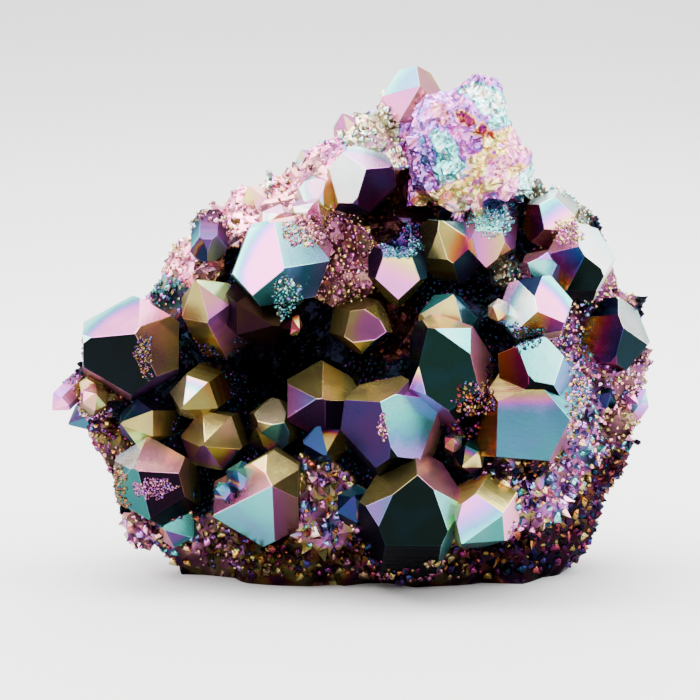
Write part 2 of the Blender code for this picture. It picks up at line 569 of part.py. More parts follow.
def connected_groups(bm):
    """The faces of a bmesh in groups that share edges, largest first."""
    waiting = set(bm.faces)
    groups = []
    while waiting:
        stack = [waiting.pop()]
        group = []
        while stack:
            face = stack.pop()
            group.append(face)
            near = {other for edge in face.edges for other in edge.link_faces}
            near &= waiting
            waiting -= near
            stack.extend(near)
        groups.append(group)
    groups.sort(key=len, reverse=True)
    return groups


def tidy_mesh(item):
    """Drop the union's crumbs, weld what is too close, drop loose flaps and turn every face outwards."""
    bm = bmesh.new()
    bm.from_mesh(item.data)
    for crumbs in connected_groups(bm)[1:]:
        bmesh.ops.delete(bm, geom=crumbs, context="FACES")
    bmesh.ops.remove_doubles(bm, verts=bm.verts, dist=WELD)
    bmesh.ops.dissolve_degenerate(bm, edges=bm.edges, dist=WELD)
    flaps = [face for face in bm.faces if sum(edge.is_boundary for edge in face.edges) >= 2]
    bmesh.ops.delete(bm, geom=flaps, context="FACES")
    bmesh.ops.triangulate(bm, faces=bm.faces)
    bmesh.ops.recalc_face_normals(bm, faces=bm.faces)
    bm.to_mesh(item.data)
    bm.free()


def centre_and_scale(item):
    """Put the origin under the middle of the box and turn millimetres into metres."""
    corners = [vert.co for vert in item.data.vertices]
    low = Vector([min(co[i] for co in corners) for i in range(3)])
    high = Vector([max(co[i] for co in corners) for i in range(3)])
    shift = Vector(((low.x + high.x) / 2.0, (low.y + high.y) / 2.0, low.z))
    item.data.transform(Matrix.Scale(MM, 4) @ Matrix.Translation(-shift))
    print("centred by", [round(-value, 3) for value in shift])


def coated_quartz():
    """Rainbow metal film on quartz, as one mean colour."""
    material = bpy.data.materials.new("aura_coating")
    material.use_nodes = True
    shader = material.node_tree.nodes["Principled BSDF"]
    shader.inputs["Base Color"].default_value = (0.36, 0.33, 0.42, 1.0)
    shader.inputs["Metallic"].default_value = 0.9
    shader.inputs["Roughness"].default_value = 0.24
    return material


def add_knobs(bm, knobs):
    """Add the rounded knobs as shells; rebuilding the lump fuses them."""
    for x, y, z, radius in knobs:
        place = Matrix.Translation(Vector((x, y, z)))
        bmesh.ops.create_icosphere(bm, subdivisions=4, radius=radius, matrix=place)


def front_depth_of_matrix(x, z):
    """Depth of the matrix face behind the crystals."""
    return blended_depth(x, z, FRONT_DEPTHS, FRONT_BLEND_POWER)


def front_depth_of_block(x, z):
    """Depth of the fractured block's face."""
    return BLOCK_FRONT_Y


def build_matrix():
    """The broken lump that everything grows on."""
    bm = lump(MATRIX_OUTLINE, MATRIX_CENTRE, front_depth_of_matrix, MATRIX_RIM_Y, MATRIX_BACK_Y,
              MATRIX_SUBDIVISIONS)
    flatten_breaks(bm, BACK_BREAKS, BREAK_FLATNESS)
    add_knobs(bm, KNOBS)
    roughen(bm, ROUGHNESS_STEPS, Vector((3.1, 8.7, 1.9)))
    bm.normal_update()
    back = [vert for vert in bm.verts if vert.co.y > MATRIX_CHIP_LIMIT and vert.normal.y > CHIP_FACING]
    chip(bm, back, MATRIX_CHIPS, random.Random(SEED + 2))
    item = to_object(bm, NODE_NAME)
    thinned(item, MATRIX_FACES)
    return item


def build_block():
    """The fractured block of massive quartz at the upper right."""
    bm = lump(BLOCK_OUTLINE, BLOCK_CENTRE, front_depth_of_block, BLOCK_RIM_Y, BLOCK_BACK_Y,
              BLOCK_SUBDIVISIONS)
    flatten_breaks(bm, BLOCK_BREAKS, BLOCK_FLATNESS)
    roughen(bm, BLOCK_ROUGHNESS, Vector((5.5, 2.2, 7.4)))
    ripple(bm, RIPPLE_FOCUS, RIPPLE_PITCH, RIPPLE_HEIGHT)
    shatter(bm, BLOCK_FLATS, Vector((2.4, 6.1, 0.7)))
    item = to_object(bm, "block")
    thinned(item, BLOCK_FACES)
    return item


def build():
    """Grow the cluster."""
    reset_scene()
    cluster = build_matrix()
    block = build_block()
    shells = all_crystals()
    matrix_tree = surface_tree(cluster)
    crystal_tree = BVHTree.FromBMesh(shells)
    grains = druzy(matrix_tree, crystal_tree)
    block_shell = bmesh.new()
    block_shell.from_mesh(block.data)
    bpy.data.objects.remove(block, do_unlink=True)
    append_shell(shells, block_shell)
    append_shell(shells, grains)
    fused(cluster, to_object(shells, "growths"))
    cut_flat_base(cluster)
    tidy_mesh(cluster)
    centre_and_scale(cluster)
    cluster.data.materials.clear()
    cluster.data.materials.append(coated_quartz())
    print("triangles", len(cluster.data.polygons))


build()
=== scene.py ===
import itertools
import random
import bmesh
import bpy
import numpy as np
from math import cos, hypot, radians, sin, tau
from mathutils import Matrix, Vector, noise


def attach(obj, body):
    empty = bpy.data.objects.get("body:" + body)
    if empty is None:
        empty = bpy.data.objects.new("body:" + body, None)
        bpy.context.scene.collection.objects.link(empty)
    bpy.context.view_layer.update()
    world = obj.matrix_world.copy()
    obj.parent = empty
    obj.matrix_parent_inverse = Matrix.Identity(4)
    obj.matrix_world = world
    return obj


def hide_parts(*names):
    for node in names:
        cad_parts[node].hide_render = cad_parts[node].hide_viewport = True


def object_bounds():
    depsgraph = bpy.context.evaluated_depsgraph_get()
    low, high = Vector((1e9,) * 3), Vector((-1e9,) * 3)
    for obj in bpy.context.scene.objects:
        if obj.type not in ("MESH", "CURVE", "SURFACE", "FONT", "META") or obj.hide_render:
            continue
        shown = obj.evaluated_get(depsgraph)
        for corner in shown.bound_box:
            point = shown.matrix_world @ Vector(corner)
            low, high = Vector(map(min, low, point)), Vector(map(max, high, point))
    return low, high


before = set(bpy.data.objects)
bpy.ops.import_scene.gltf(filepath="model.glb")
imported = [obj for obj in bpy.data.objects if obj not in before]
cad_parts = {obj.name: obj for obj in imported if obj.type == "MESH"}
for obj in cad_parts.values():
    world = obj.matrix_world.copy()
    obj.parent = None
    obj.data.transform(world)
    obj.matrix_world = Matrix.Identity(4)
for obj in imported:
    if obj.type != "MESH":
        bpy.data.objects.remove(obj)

cadLow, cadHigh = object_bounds()
mm = 0.001
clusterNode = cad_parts["aura_quartz_cluster"]
endFaceAngle = radians(51.8)  # from the long axis to the normal of a quartz end face
flatRadius = 0.866  # how far a six-sided prism's faces lie from its axis, for a radius of 1

# film colours by the thickness of the coating: how far along the film, and the colour there
filmStops = [
    (0, (0.95, 0.8, 0.5)), (0.03, (0.86, 0.93, 0.93)), (0.07, (0.36, 0.88, 0.84)),
    (0.12, (0.1, 0.66, 0.6)), (0.2, (0.1, 0.33, 0.54)), (0.3, (0.46, 0.2, 0.8)),
    (0.4, (0.96, 0.24, 0.66)), (0.48, (0.93, 0.4, 0.38)), (0.54, (0.86, 0.66, 0.24)),
    (0.58, (1, 0.88, 0.24)), (0.66, (0.92, 0.27, 0.04)), (0.73, (0.5, 0.02, 0.18)),
    (0.8, (0.17, 0.04, 0.26)), (0.87, (0.04, 0.05, 0.28)), (0.93, (0.02, 0.12, 0.2)),
    (1, (0.012, 0.06, 0.045)),
]

# how far each end face stands out, as a share of the radius, where it isn't given by itself
even = (0, 0.04, 0, 0.06, 0, 0.04)
threes = (0, 0.16, 0, 0.16, 0, 0.16)
threeOnly = (0, 0.42, 0, 0.42, 0, 0.42)

# crystals: tip in mm, lean, tilt and turn in degrees, radius in mm, how far each end face stands out,
# then the film on the six end faces, in hundredths: at the tip, at the shoulder, and how bright, past
# 100 towards white; the brightness is partly the film's own tone and partly painted light: dark on faces
# turned down and on faces in shadow as painted shade, near white on faces turned up to the light as
# painted highlight; a fourth number has it change across the face, in degrees from rightwards, and a
# fifth delays that
crystals = {
    "leftLarge": ((-21, -10, 25.6), 65, 10, 0, 5.1, (0, 0.07, 0, 0.33, 0, 0.5),
        (50, 55, 60), (43, 46, 100), (41, 7, 110), (8, 4, 120), (99, 97, 8), (85, 90, 12)),
    "leftLower": ((-20.7, -12, 12.5), 138, 17, 60, 4.25, (0, 0.08, 0.12, 0, 0, 0.5),
        (46, 51, 110), (3, 7, 160), (12, 95, 25), (13, 14, 28), (78, 80, 6), (50, 52, 50)),
    "upperLarge": ((-6.6, -14, 32.2), 0, 4, 40, 5.2, (0.03, 0.4, 0, 0.4, 0, 0),
        (9, 8, 105), (45, 42, 100), (41, 7, 110), (10, 10, 60), (16, 20, 35), (21.5, 24, 60)),
    "upperLargeTwin": ((-5.9, -11.6, 32.9), 0, 4, 40, 5, threes,
        (48, 42, 80), (44, 50, 80), (30, 10, 80), (10, 10, 50), (80, 90, 30), (50, 62, 50)),
    # painted shade: underUpper's faces are nearly black because it lies in shadow under upperLarge
    "underUpper": ((-7, -12, 26.6), 320, 22, 0, 3.6, even,
        (93, 90, 5), (95, 98, 4), (66, 70, 4), (73, 70, 5), (76, 80, 7), (78, 81, 5)),
    "underSliver": ((-5.1, -9.5, 25.9), 330, 40, 20, 1.2, even,
        (70, 62, 90), (60, 72, 90), (72, 74, 90), (70, 74, 70), (58, 57, 80), (58, 58, 90)),
    "upperLeft": ((-15.2, -7, 30.4), 115, 44, 4, 2.9, even,
        (58, 58, 135), (57, 57, 90), (57, 55, 50), (57, 54, 50), (58, 54, 42), (47, 36, 50)),
    "leftSmallDark": ((-14.2, -5, 32), 270, 44, 30, 1.8, threes,
        (50, 44, 22), (28, 31, 22), (90, 26, 16), (90, 90, 20), (90, 90, 20), (57, 60, 20)),
    "leftBack": ((-11.5, -1, 35.8), 100, 30, 15, 1.9, even,
        (60, 20, 45), (58, 60, 50), (50, 40, 60), (20, 20, 45), (60, 62, 40), (60, 20, 45)),
    "rimPale": ((-6.8, -5, 36.8), 60, 24, 0, 1.9, even,
        (40, 30, 140), (2, 0, 150), (42, 40, 140), (2, 57, 165), (45, 40, 110), (30, 10, 100)),
    "rimLilac": ((-3.5, -4.5, 37.9), 70, 20, 20, 2.2, even,
        (60, 55, 100), (28, 2, 150), (39, 37, 140), (2, 0, 150), (42, 30, 120), (52, 58, 100)),
    "rimFar": ((-10.3, 0.5, 39), 120, 50, 0, 1.7, even,
        (50, 40, 120), (40, 30, 120), (42, 40, 120), (50, 50, 110), (57, 50, 90), (50, 40, 90)),
    "rimHigh": ((-5.1, 0.5, 42.6), 120, 55, 0, 1.6, even,
        (30, 20, 130), (20, 10, 130), (3, 10, 140), (10, 0, 140), (0, 40, 120), (40, 0, 120)),
    "crownLeft": ((-1, 0.5, 46.2), 110, 55, 0, 1.7, even,
        (40, 40, 120), (40, 30, 130), (2, 10, 130), (40, 40, 130), (40, 50, 110), (50, 40, 110)),
    "midLeftPale": ((-16.7, -7, 17.8), 219, 30, 20, 2.7, even,
        (58, 62, 50), (3, 57, 135), (56, 57, 125), (55, 50, 60), (57, 60, 120), (60, 62, 30)),
    "midLeftTan": ((-14.5, -9, 14.5), 200, 12, 20, 3.1, even,
        (57, 58, 60), (56, 55, 75), (55, 50, 55), (50, 34, 40), (36, 56, 50), (60, 20, 35)),
    "midGold": ((-6.7, -7, 16.4), 20, 16, 10, 2.6, threes,
        (58, 57, 40), (58, 57, 50), (58, 57, 150), (55, 50, 50), (20, 22, 70), (56, 54, 35)),
    "midGrey": ((-9.5, -6, 15.6), 150, 28, 0, 2.3, even,
        (55, 10, 30), (57, 55, 35), (50, 40, 30), (90, 90, 20), (55, 10, 30), (57, 20, 30)),
    "centreLeft": ((-2.9, -11, 19.4), 90, 4, 0, 3.9, (0.3, 0, 0, 0.06, 0, 0.05),
        (56, 54, 45), (56, 58, 60), (55, 57, 62), (38, 22, 60, 0), (82, 78, 40), (82, 78, 30)),
    "centreGold": ((3.3, -8, 25.5), 343, 33, 45, 2.8, threes,
        (58, 58, 110), (57, 55, 45), (40, 55, 60), (58, 62, 50), (20, 20, 40), (45, 42, 80)),
    "shield": ((4.4, -10, 28.9), 270, 44, 90, 3, threeOnly,
        (38.5, 60, 78, 62, 28), (80, 80, 30), (57, 60, 30), (90, 90, 25), (57, 54, 35), (58, 57, 75)),
    "upperMidGold": ((8.4, -6.5, 36.2), 108, 38, 315, 3.1, (0, 0.05, 0, 0.2, 0, 0.1),
        (58, 78, 98, -20, 25), (7, 40, 115), (10, 10, 90), (57, 60, 30), (54, 55, 22), (57, 58, 36)),
    "upperMidTeal": ((13, -6.5, 31.6), 262, 50, 90, 2.7, threes,
        (36, 55, 55, 0), (58, 58, 110), (38, 46, 70), (60, 60, 30), (56, 54, 40), (55, 54, 40)),
    "centreTall": ((7.1, -17, 27.1), 126, 37, 358, 4.2, (0.05, 0, 0.2, 0, 0.3, 0),
        (10.5, 13, 82), (54, 45, 95), (20, 20, 40), (95, 93, 14), (66, 30, 90), (100, 100, 27)),
    "tallBack": ((9.6, -11.5, 29.6), 80, 42, 30, 3, even,
        (19, 20, 60), (20, 20, 50), (13, 12, 80), (55, 54, 55), (56, 54, 70), (20, 18, 60)),
    "centreTeal": ((2.6, -18, 20.2), 112, 23, 100, 4.9, (0, 0.5, 0, 0.3, 0, 0.14),
        (56, 54, 65), (50, 50, 45), (82, 83, 26), (100, 100, 10), (12, 27, 80, -90, 35), (38, 48, 80)),
    "bottomLarge": ((6.1, -19, 13.4), 85, 28, 30, 5.1, (0, 0.3, 0, 0.2, 0, 0.14),
        (47, 40, 115), (7, 30, 100), (56, 54, 38), (28, 20, 42, 0), (100, 100, 14), (11, 10, 70)),
    "bottomSmall": ((10.3, -18, 6.6), 232, 45, 6, 3.4, (0.02, 0, 0.2, 0, 0.2, 0),
        (11, 12, 42), (38, 9, 102, -60), (50, 54, 70), (57, 42, 90), (90, 90, 20), (11, 12, 35)),
    "rightTop": ((18.8, -4, 35.1), 236, 22, 50, 2.7, threeOnly,
        (8, 58, 100, -60), (10, 2, 120), (58, 86, 55, 0), (70, 80, 30), (46, 42, 60), (46, 54, 80)),
    "rightLarge": ((22.2, -8, 33.4), 90, 12, 30, 3.7, (0, 0.4, 0.1, 0, 0.1, 0.3),
        (4, 6, 175), (10, 3, 150), (44, 50, 100), (57, 90, 80, 50), (100, 98, 16), (3, 7, 160)),
    "rightStep": ((17, -7, 32.1), 158, 36, 330, 2.15, threes,
        (9, 26, 100), (30, 30, 70), (45, 50, 80), (50, 40, 50), (42, 40, 80), (90, 90, 25)),
    "rightPink": ((17.5, -15, 28.4), 120, 5, 40, 3.9, (0, 0.15, 0, 0.3, 0, 0.3),
        (43, 10, 90), (90, 90, 25), (3, 40, 130), (60, 70, 35), (57, 80, 42, 0), (12, 38, 90)),
    "rightCyan": ((15.6, -15.5, 25.2), 124, 42, 100, 3.3, (0, 0.4, 0, 0.3, 0, 0.3),
        (48, 56, 80), (50, 50, 60), (60, 80, 36, 0), (98, 100, 8), (12, 7, 74, 0), (5, 10, 100)),
    "lowerRight": ((13.6, -17, 14.8), 233, 44, 45, 4.9, (0, 0.35, 0, 0.4, 0, 0.35),
        (19, 60, 66, 90, 70), (76, 62, 60), (57, 73, 50, 0), (62, 70, 35), (95, 100, 12), (12, 8, 60)),
    "farRight": ((26.7, -3, 25.5), 61, 17, 200, 3.9, (0, 0.3, 0.05, 0, 0.4, 0.2),
        (56.5, 86, 55, -15, 5), (80, 70, 30), (98, 97, 25), (3, 7, 175), (3, 5, 160), (90, 93, 20)),
    "farRightThin": ((29.6, 2, 18.4), 58, 62, 0, 1.3, even,
        (3, 30, 140), (0, 30, 140), (30, 3, 140), (30, 40, 100), (30, 20, 100), (10, 30, 130)),
    "farRightLow": ((25.6, -2, 18.6), 20, 22, 10, 2.5, even,
        (95, 100, 50), (95, 90, 60), (97, 100, 50), (90, 95, 50), (86, 90, 40), (95, 90, 40)),
    "crown": ((6.6, -1, 49), 60, 17, 30, 3.2, (0, 0.3, 0, 0, 0, 0.3),
        (46, 50, 110), (30, 10, 120), (20, 9, 115), (39, 43, 105), (50, 48, 80), (48, 52, 80)),
    "crownViolet": ((1.3, -7.5, 41.3), 60, 12, 75, 3.35, (0, 0.4, 0, 0.3, 0, 0.3),
        (36, 8, 150), (30, 10, 120), (3, 2, 175), (80, 85, 30), (80, 77, 32), (95, 20, 40)),
    "crownWhite": ((-2.6, -4, 39.8), 60, 30, 200, 2.1, threes,
        (42, 3, 160), (30, 2, 140), (52, 57, 95), (0, 50, 120), (40, 2, 130), (2, 30, 140)),
    "lowerLeftBlue": ((-7.7, -15, 11.6), 220, 2, 59, 5.5, (0, 0.1, 0, 0, 0, 0),
        (55, 56, 60), (55, 57, 70), (43, 57, 85, 100, 15), (14, 16.5, 109), (34, 57, 27, 0), (55, 57, 45)),
    "lowerBlueBud": ((-11.2, -12, 12.6), 120, 25, 0, 1.5, even,
        (18, 20, 70), (16, 20, 80), (14, 10, 80), (20, 20, 60), (90, 20, 50), (20, 30, 60)),
    "lowerBlueSeed": ((-13.2, -12, 10.7), 160, 30, 20, 1, even,
        (18, 20, 70), (16, 10, 80), (14, 20, 80), (20, 20, 60), (90, 20, 50), (20, 30, 60)),
    "leftPoint": ((-22.7, -7, 16.3), 180, 36, 0, 2.4, even,
        (56, 54, 50), (20, 22, 30), (20, 22, 35), (3, 30, 140), (27, 22, 35), (60, 58, 60)),
    "edgePoint": ((-30.1, 0, 16.5), 225, 74, 0, 1.25, even,
        (42, 40, 90), (42, 40, 90), (40, 30, 90), (42, 40, 90), (50, 40, 80), (50, 40, 70)),
    "edgeLow": ((-28.6, 0.5, 15), 205, 74, 20, 1.5, even,
        (20, 20, 40), (30, 20, 50), (20, 10, 50), (60, 50, 40), (90, 90, 40), (90, 90, 40)),
    "edgeYellow": ((-26.4, -2.5, 20.1), 120, 30, 10, 1.3, even,
        (57, 57, 120), (57, 57, 130), (57, 56, 120), (56, 57, 100), (50, 50, 80), (57, 60, 90)),
    "edgeWhite": ((-26.9, -2.5, 17.3), 200, 40, 40, 1.3, even,
        (3, 10, 130), (3, 10, 130), (10, 10, 120), (20, 10, 100), (20, 20, 70), (20, 30, 70)),
    "edgeGold": ((-25.3, -4.5, 18.9), 60, 20, 0, 1.4, even,
        (55, 58, 90), (55, 50, 90), (50, 40, 90), (50, 40, 80), (50, 50, 60), (55, 60, 70)),
    "gapTan": ((10.5, -14, 13.3), 230, 30, 10, 1.6, even,
        (56, 55, 70), (56, 10, 60), (90, 90, 20), (50, 50, 50), (60, 60, 40), (36, 42, 70)),
    "gapSeed": ((9.7, -13, 15.9), 90, 20, 0, 1, even,
        (3, 10, 110), (3, 45, 110), (45, 10, 90), (40, 45, 80), (57, 50, 50), (40, 50, 70)),
    "rightSeed": ((13.4, -12, 28.5), 150, 30, 0, 1.1, even,
        (0, 2, 140), (0, 2, 140), (2, 0, 140), (57, 50, 110), (50, 57, 90), (57, 57, 80)),
    "upperSeed": ((3.7, -4, 35.3), 90, 20, 0, 0.9, even,
        (3, 0, 150), (3, 0, 150), (3, 0, 150), (3, 30, 130), (20, 20, 80), (20, 20, 80)),
    "centreDark": ((-2.5, -10.5, 13.8), 270, 20, 20, 2.4, even,
        (60, 60, 30), (60, 90, 30), (90, 90, 40), (87, 90, 40), (20, 20, 40), (60, 90, 30)),
    "centreBlue": ((0.2, -13, 10.2), 100, 20, 0, 1.9, even,
        (90, 20, 60), (20, 2, 90), (20, 20, 70), (90, 87, 60), (87, 90, 50), (20, 90, 60)),
    "lowerLeftPale": ((-18.8, -5.5, 5.6), 200, 20, 0, 2.7, even,
        (12, 10, 70), (10, 12, 70), (10, 12, 75), (30, 10, 70), (50, 40, 60), (30, 10, 50)),
    "lowerLeftEdge": ((-21.6, -3.5, 5.6), 180, 40, 20, 1.9, even,
        (45, 40, 80), (45, 50, 90), (45, 40, 90), (40, 30, 90), (45, 50, 80), (50, 50, 70)),
}
# crystals on the sides and the back: tip, lean, tilt, turn, radius, end faces; films are drawn by chance
hiddenSideCrystals = {
    "sideLeft": ((-27.6, 4, 23), 175, 85, 10, 2.4, threes),
    "sideLeftLow": ((-26, 6, 11.5), 190, 95, 30, 2, even),
    "sideRight": ((29.6, 6, 24), 5, 85, 0, 2.6, threes),
    "sideRightLow": ((27.6, 5, 11), 350, 90, 20, 2.1, even),
    "sideRightHigh": ((24.6, 8, 34), 40, 85, 20, 2.2, threes),
    "topBack": ((2, 6, 46.3), 95, 80, 0, 2.3, threes),
    "topLeftBack": ((-9, 7, 38), 120, 85, 0, 2.4, even),
    "leftBackHigh": ((-19, 7, 30.5), 150, 85, 15, 2.3, threes),
    "backMiddle": ((5, 19.6, 27), 60, 158, 0, 2.9, threes),
    "backLow": ((-11, 17.8, 15), 200, 150, 20, 2.3, even),
    "backHigh": ((11, 16.2, 37), 70, 140, 0, 2.4, threes),
}
growth = {
    "shift": (-0.271, -0.3, 0),  # mm from the crystal table to the model's origin
    "lookUp": 8,            # degrees that the crystal side faces above level
    "alike": 0.99985,       # least cosine between a polygon's normal and a crystal face's
    "endSlack": 0.035,      # mm that a polygon may lie off an end face
    "prismSlack": 0.5,      # the same for a prism face, in radii
    "reach": (2, 9),        # how far from the tip a crystal's faces may lie, in radii and mm more
    "mergeDistance": 2e-6, "flatAngle": 0.35,
    # the edge between two faces is bevelled this broad in mm, unless it is short, flat or beside a tiny
    # one; the strip is painted brighter as a glint
    "edgeWidth": 0.055, "edgeLeast": 0.7, "edgeAngle": 12, "edgeBeside": 0.22,
    "pointArea": 1.6, "pointAngle": 38,  # a coarse druzy point: mm2 a face at most, degrees between them
    "filmLow": 0.35, "filmHigh": 0.9, "filmSpread": 0.15,  # for the crystals of the hidden sides
    "seed": 11,
}
# what a polygon lies on where it isn't a crystal's face
matrixFace, pointFace, blockFace = -1, -2, -3


def ripple(point, size, height, aside=(0, 0, 0)):
    # smooth noise at a place in mm: how broad in mm, how high
    return height * noise.noise(point / size + Vector(aside))


def crystalAxis(lean, tilt):
    across = sin(radians(tilt))
    level = Vector((across * cos(radians(lean)), -cos(radians(tilt)), across * sin(radians(lean))))
    return Matrix.Rotation(radians(-growth["lookUp"]), 3, "X") @ level


def crystalSides(axis, turn):
    # the normals of the six prism faces
    guide = Vector((0, -1, 0)) if abs(axis.x) > 0.96 else Vector((1, 0, 0))
    first = (guide - axis * axis.dot(guide)).normalized()
    second = axis.cross(first)
    return [first * cos(radians(turn + 60 * i)) + second * sin(radians(turn + 60 * i)) for i in range(6)]


def shares(hundredths):
    # as shares of one
    return [value / 100 for value in hundredths]


# one list of face planes, so that a face of the mesh can be told apart by where it lies
planeNormals, planeReach, planeKeys = [], [], []
crystalPlaces = []
chance = random.Random(growth["seed"])
shift = Vector(growth["shift"])
allCrystals = [(data[:6], [shares(face[:3]) + list(face[3:4]) + shares(face[4:]) for face in data[6:]])
               for data in crystals.values()]
for data in hiddenSideCrystals.values():
    looks = []
    for atTip in [chance.uniform(0, 1) for i in range(6)]:
        atShoulder = atTip + chance.uniform(-growth["filmSpread"], growth["filmSpread"])
        bright = chance.uniform(growth["filmLow"], growth["filmHigh"])
        looks.append((atTip, min(1, max(0, atShoulder)), bright))
    allCrystals.append((data, looks))
for number, ((tip, lean, tilt, turn, radius, habit), looks) in enumerate(allCrystals):
    axis = crystalAxis(lean, tilt)
    place = Vector(tip) + shift
    crystalPlaces.append((place, axis, radius, looks))
    for i, side in enumerate(crystalSides(axis, turn)):
        end = side * sin(endFaceAngle) + axis * cos(endFaceAngle)
        planeNormals.append(end)
        planeReach.append(end.dot(place) + habit[i] * radius)
        planeKeys.append((number, i, 0))
        planeNormals.append(side)
        planeReach.append(side.dot(place) + radius * flatRadius)
        planeKeys.append((number, i, 1))
normalArray = np.array([tuple(n) for n in planeNormals])
reachArray = np.array(planeReach)
isSide = np.array([key[2] for key in planeKeys], dtype=bool)
placeArray = np.array([tuple(crystalPlaces[key[0]][0]) for key in planeKeys])
radiusArray = np.array([crystalPlaces[key[0]][2] for key in planeKeys])
slackArray = np.where(isSide, radiusArray * growth["prismSlack"], growth["endSlack"])


def facetOf(normal, centre):
    # which crystal face a polygon lies on, as an index into planeKeys, or matrixFace
    alike = normalArray @ np.array(normal) > growth["alike"]
    if not alike.any():
        return matrixFace
    point = np.array(centre)
    off = np.abs(normalArray @ point - reachArray)
    radii, more = growth["reach"]
    near = np.linalg.norm(point - placeArray, axis=1) < radiusArray * radii + more
    fits = np.flatnonzero(alike & (off < slackArray) & near)
    return int(fits[np.argmin(off[fits] / slackArray[fits])]) if len(fits) else matrixFace


# films on the matrix and its druzy by where they grow: centre x and z in mm, radius, then in hundredths
# film, its spread, brightness, the size of the grains in mm and how densely they stand; the brightness is
# partly painted shade, low in the hollows between crystals and at the foot
zones = [
    (-4.5, 7.6, 5.6, 42, 28, 122, 88, 90), (17, 8.6, 6.2, 38, 28, 115, 85, 90),
    (22, 14, 6.5, 36, 28, 115, 68, 90), (22.2, 24, 4.5, 38, 24, 115, 50, 100),
    (-2.8, 33, 5.6, 46, 10, 115, 46, 100), (-1, 30, 3, 48, 12, 110, 46, 100),
    (2, 44.8, 6, 0, 2, 105, 60, 60), (-2, 42.5, 2.4, 42, 4, 125, 60, 100),
    (-6, 40, 5, 46, 5, 122, 62, 50), (-9.5, 39.5, 2.4, 0, 2, 110, 60, 60),
    (-12.5, 37, 4, 45, 5, 118, 60, 50), (-17.5, 32, 4.5, 46, 5, 120, 60, 50),
    (-15.8, 34.6, 1.8, 1, 3, 110, 55, 60), (-18.6, 28.6, 2.8, 10, 30, 90, 52, 90),
    (-22.5, 27, 3, 42, 6, 110, 45, 100), (-16, 24, 2.8, 90, 20, 45, 45, 80),
    (-12.6, 19, 2.4, 90, 10, 40, 45, 70), (10.8, 19, 3.4, 74, 12, 55, 60, 90),
    (17.5, 12.4, 2.6, 74, 12, 50, 55, 90), (26, 15.2, 2.8, 50, 12, 90, 55, 100),
    (25.6, 10, 3.4, 76, 16, 45, 60, 90), (28.4, 20.5, 3.6, 42, 16, 110, 50, 100),
    (20.5, 37.2, 3.6, 2, 10, 125, 45, 100), (26.5, 29.5, 3, 44, 14, 100, 50, 100),
    (-21, 5, 2.6, 43, 12, 115, 75, 100), (-17.5, 4.2, 3.4, 42, 30, 100, 75, 100),
    (-13, 2.6, 4.5, 50, 20, 70, 75, 90), (-23.4, 20.6, 3, 62, 20, 60, 55, 90),
    (-28, 16.5, 3.6, 42, 20, 90, 50, 80), (5, 34.4, 2.4, 86, 7, 70, 42, 100),
    (20.4, 31.5, 2.8, 46, 16, 90, 45, 100), (15, 30.6, 1.6, 8, 40, 90, 42, 80),
    # painted shade: the zones centred at z 1 and 2 mm, at the foot, and the four dark ones after them, in
    # cavities between crystals
    (-24, 12, 3.5, 55, 25, 70, 55, 90), (5, 2, 7, 66, 25, 45, 75, 80), (19, 2, 9, 75, 16, 40, 75, 80),
    (-8, 1, 9, 66, 20, 40, 75, 80), (-8, 24, 7, 88, 6, 7, 50, 25), (4, 37.5, 4.5, 70, 5, 10, 50, 15),
    (3, 26, 3.4, 70, 5, 10, 50, 20), (-13, 26, 3, 90, 5, 12, 50, 30),
]
openFilm = (90, 12, 27, 50, 60)  # the same away from the zones, dark as painted shade in the hollows between crystals
# round the sides and the back broad patches of three films meet: film, spread, brightness
sides = {
    "films": [(0.9, 0.1, 0.5), (0.52, 0.14, 0.45), (0.17, 0.09, 0.42)], "bands": (-0.1, 0.24),
    "size": 0.62, "cover": 0.95,
    "limit": 3.5, "ridgeLimit": 8.5, "ridge": 36,  # behind these depths in mm the zones end
    "ragged": (2.4, 4),  # the ripples: how broad in mm, how high
    "patch": (7, 1, (4.1, 0.7, 2.9)), "fleck": (1.9, 0.35), "light": (4.5, 0.7, (0, 9, 5)),
}
blockZone = {"centre": (11.8, 43.2), "reach": (7.4, 7), "behind": 5}


def zoneAt(point):
    # film, spread, brightness, grain size and cover at a place on the matrix, in mm
    limit = sides["ridgeLimit"] if point.z > sides["ridge"] else sides["limit"]
    if point.y > limit + ripple(point, *sides["ragged"]):
        patch = ripple(point, *sides["patch"]) + ripple(point, *sides["fleck"])
        film, spread, bright = sides["films"][sum(patch > level for level in sides["bands"])]
        light = 1 + ripple(point, *sides["light"])
        return film, spread, bright * light, sides["size"], sides["cover"]
    found, best = openFilm, 1
    for x, z, reach, *values in zones:
        far = hypot(point.x - x, point.z - z) / reach
        if far < best:
            found, best = values, far
    return shares(found)


def onBlock(point):
    x = (point.x - growth["shift"][0] - blockZone["centre"][0]) / blockZone["reach"][0]
    z = (point.z - blockZone["centre"][1]) / blockZone["reach"][1]
    return x * x + z * z < 1 and point.y < blockZone["behind"]


print("planes ready:", len(planeKeys))


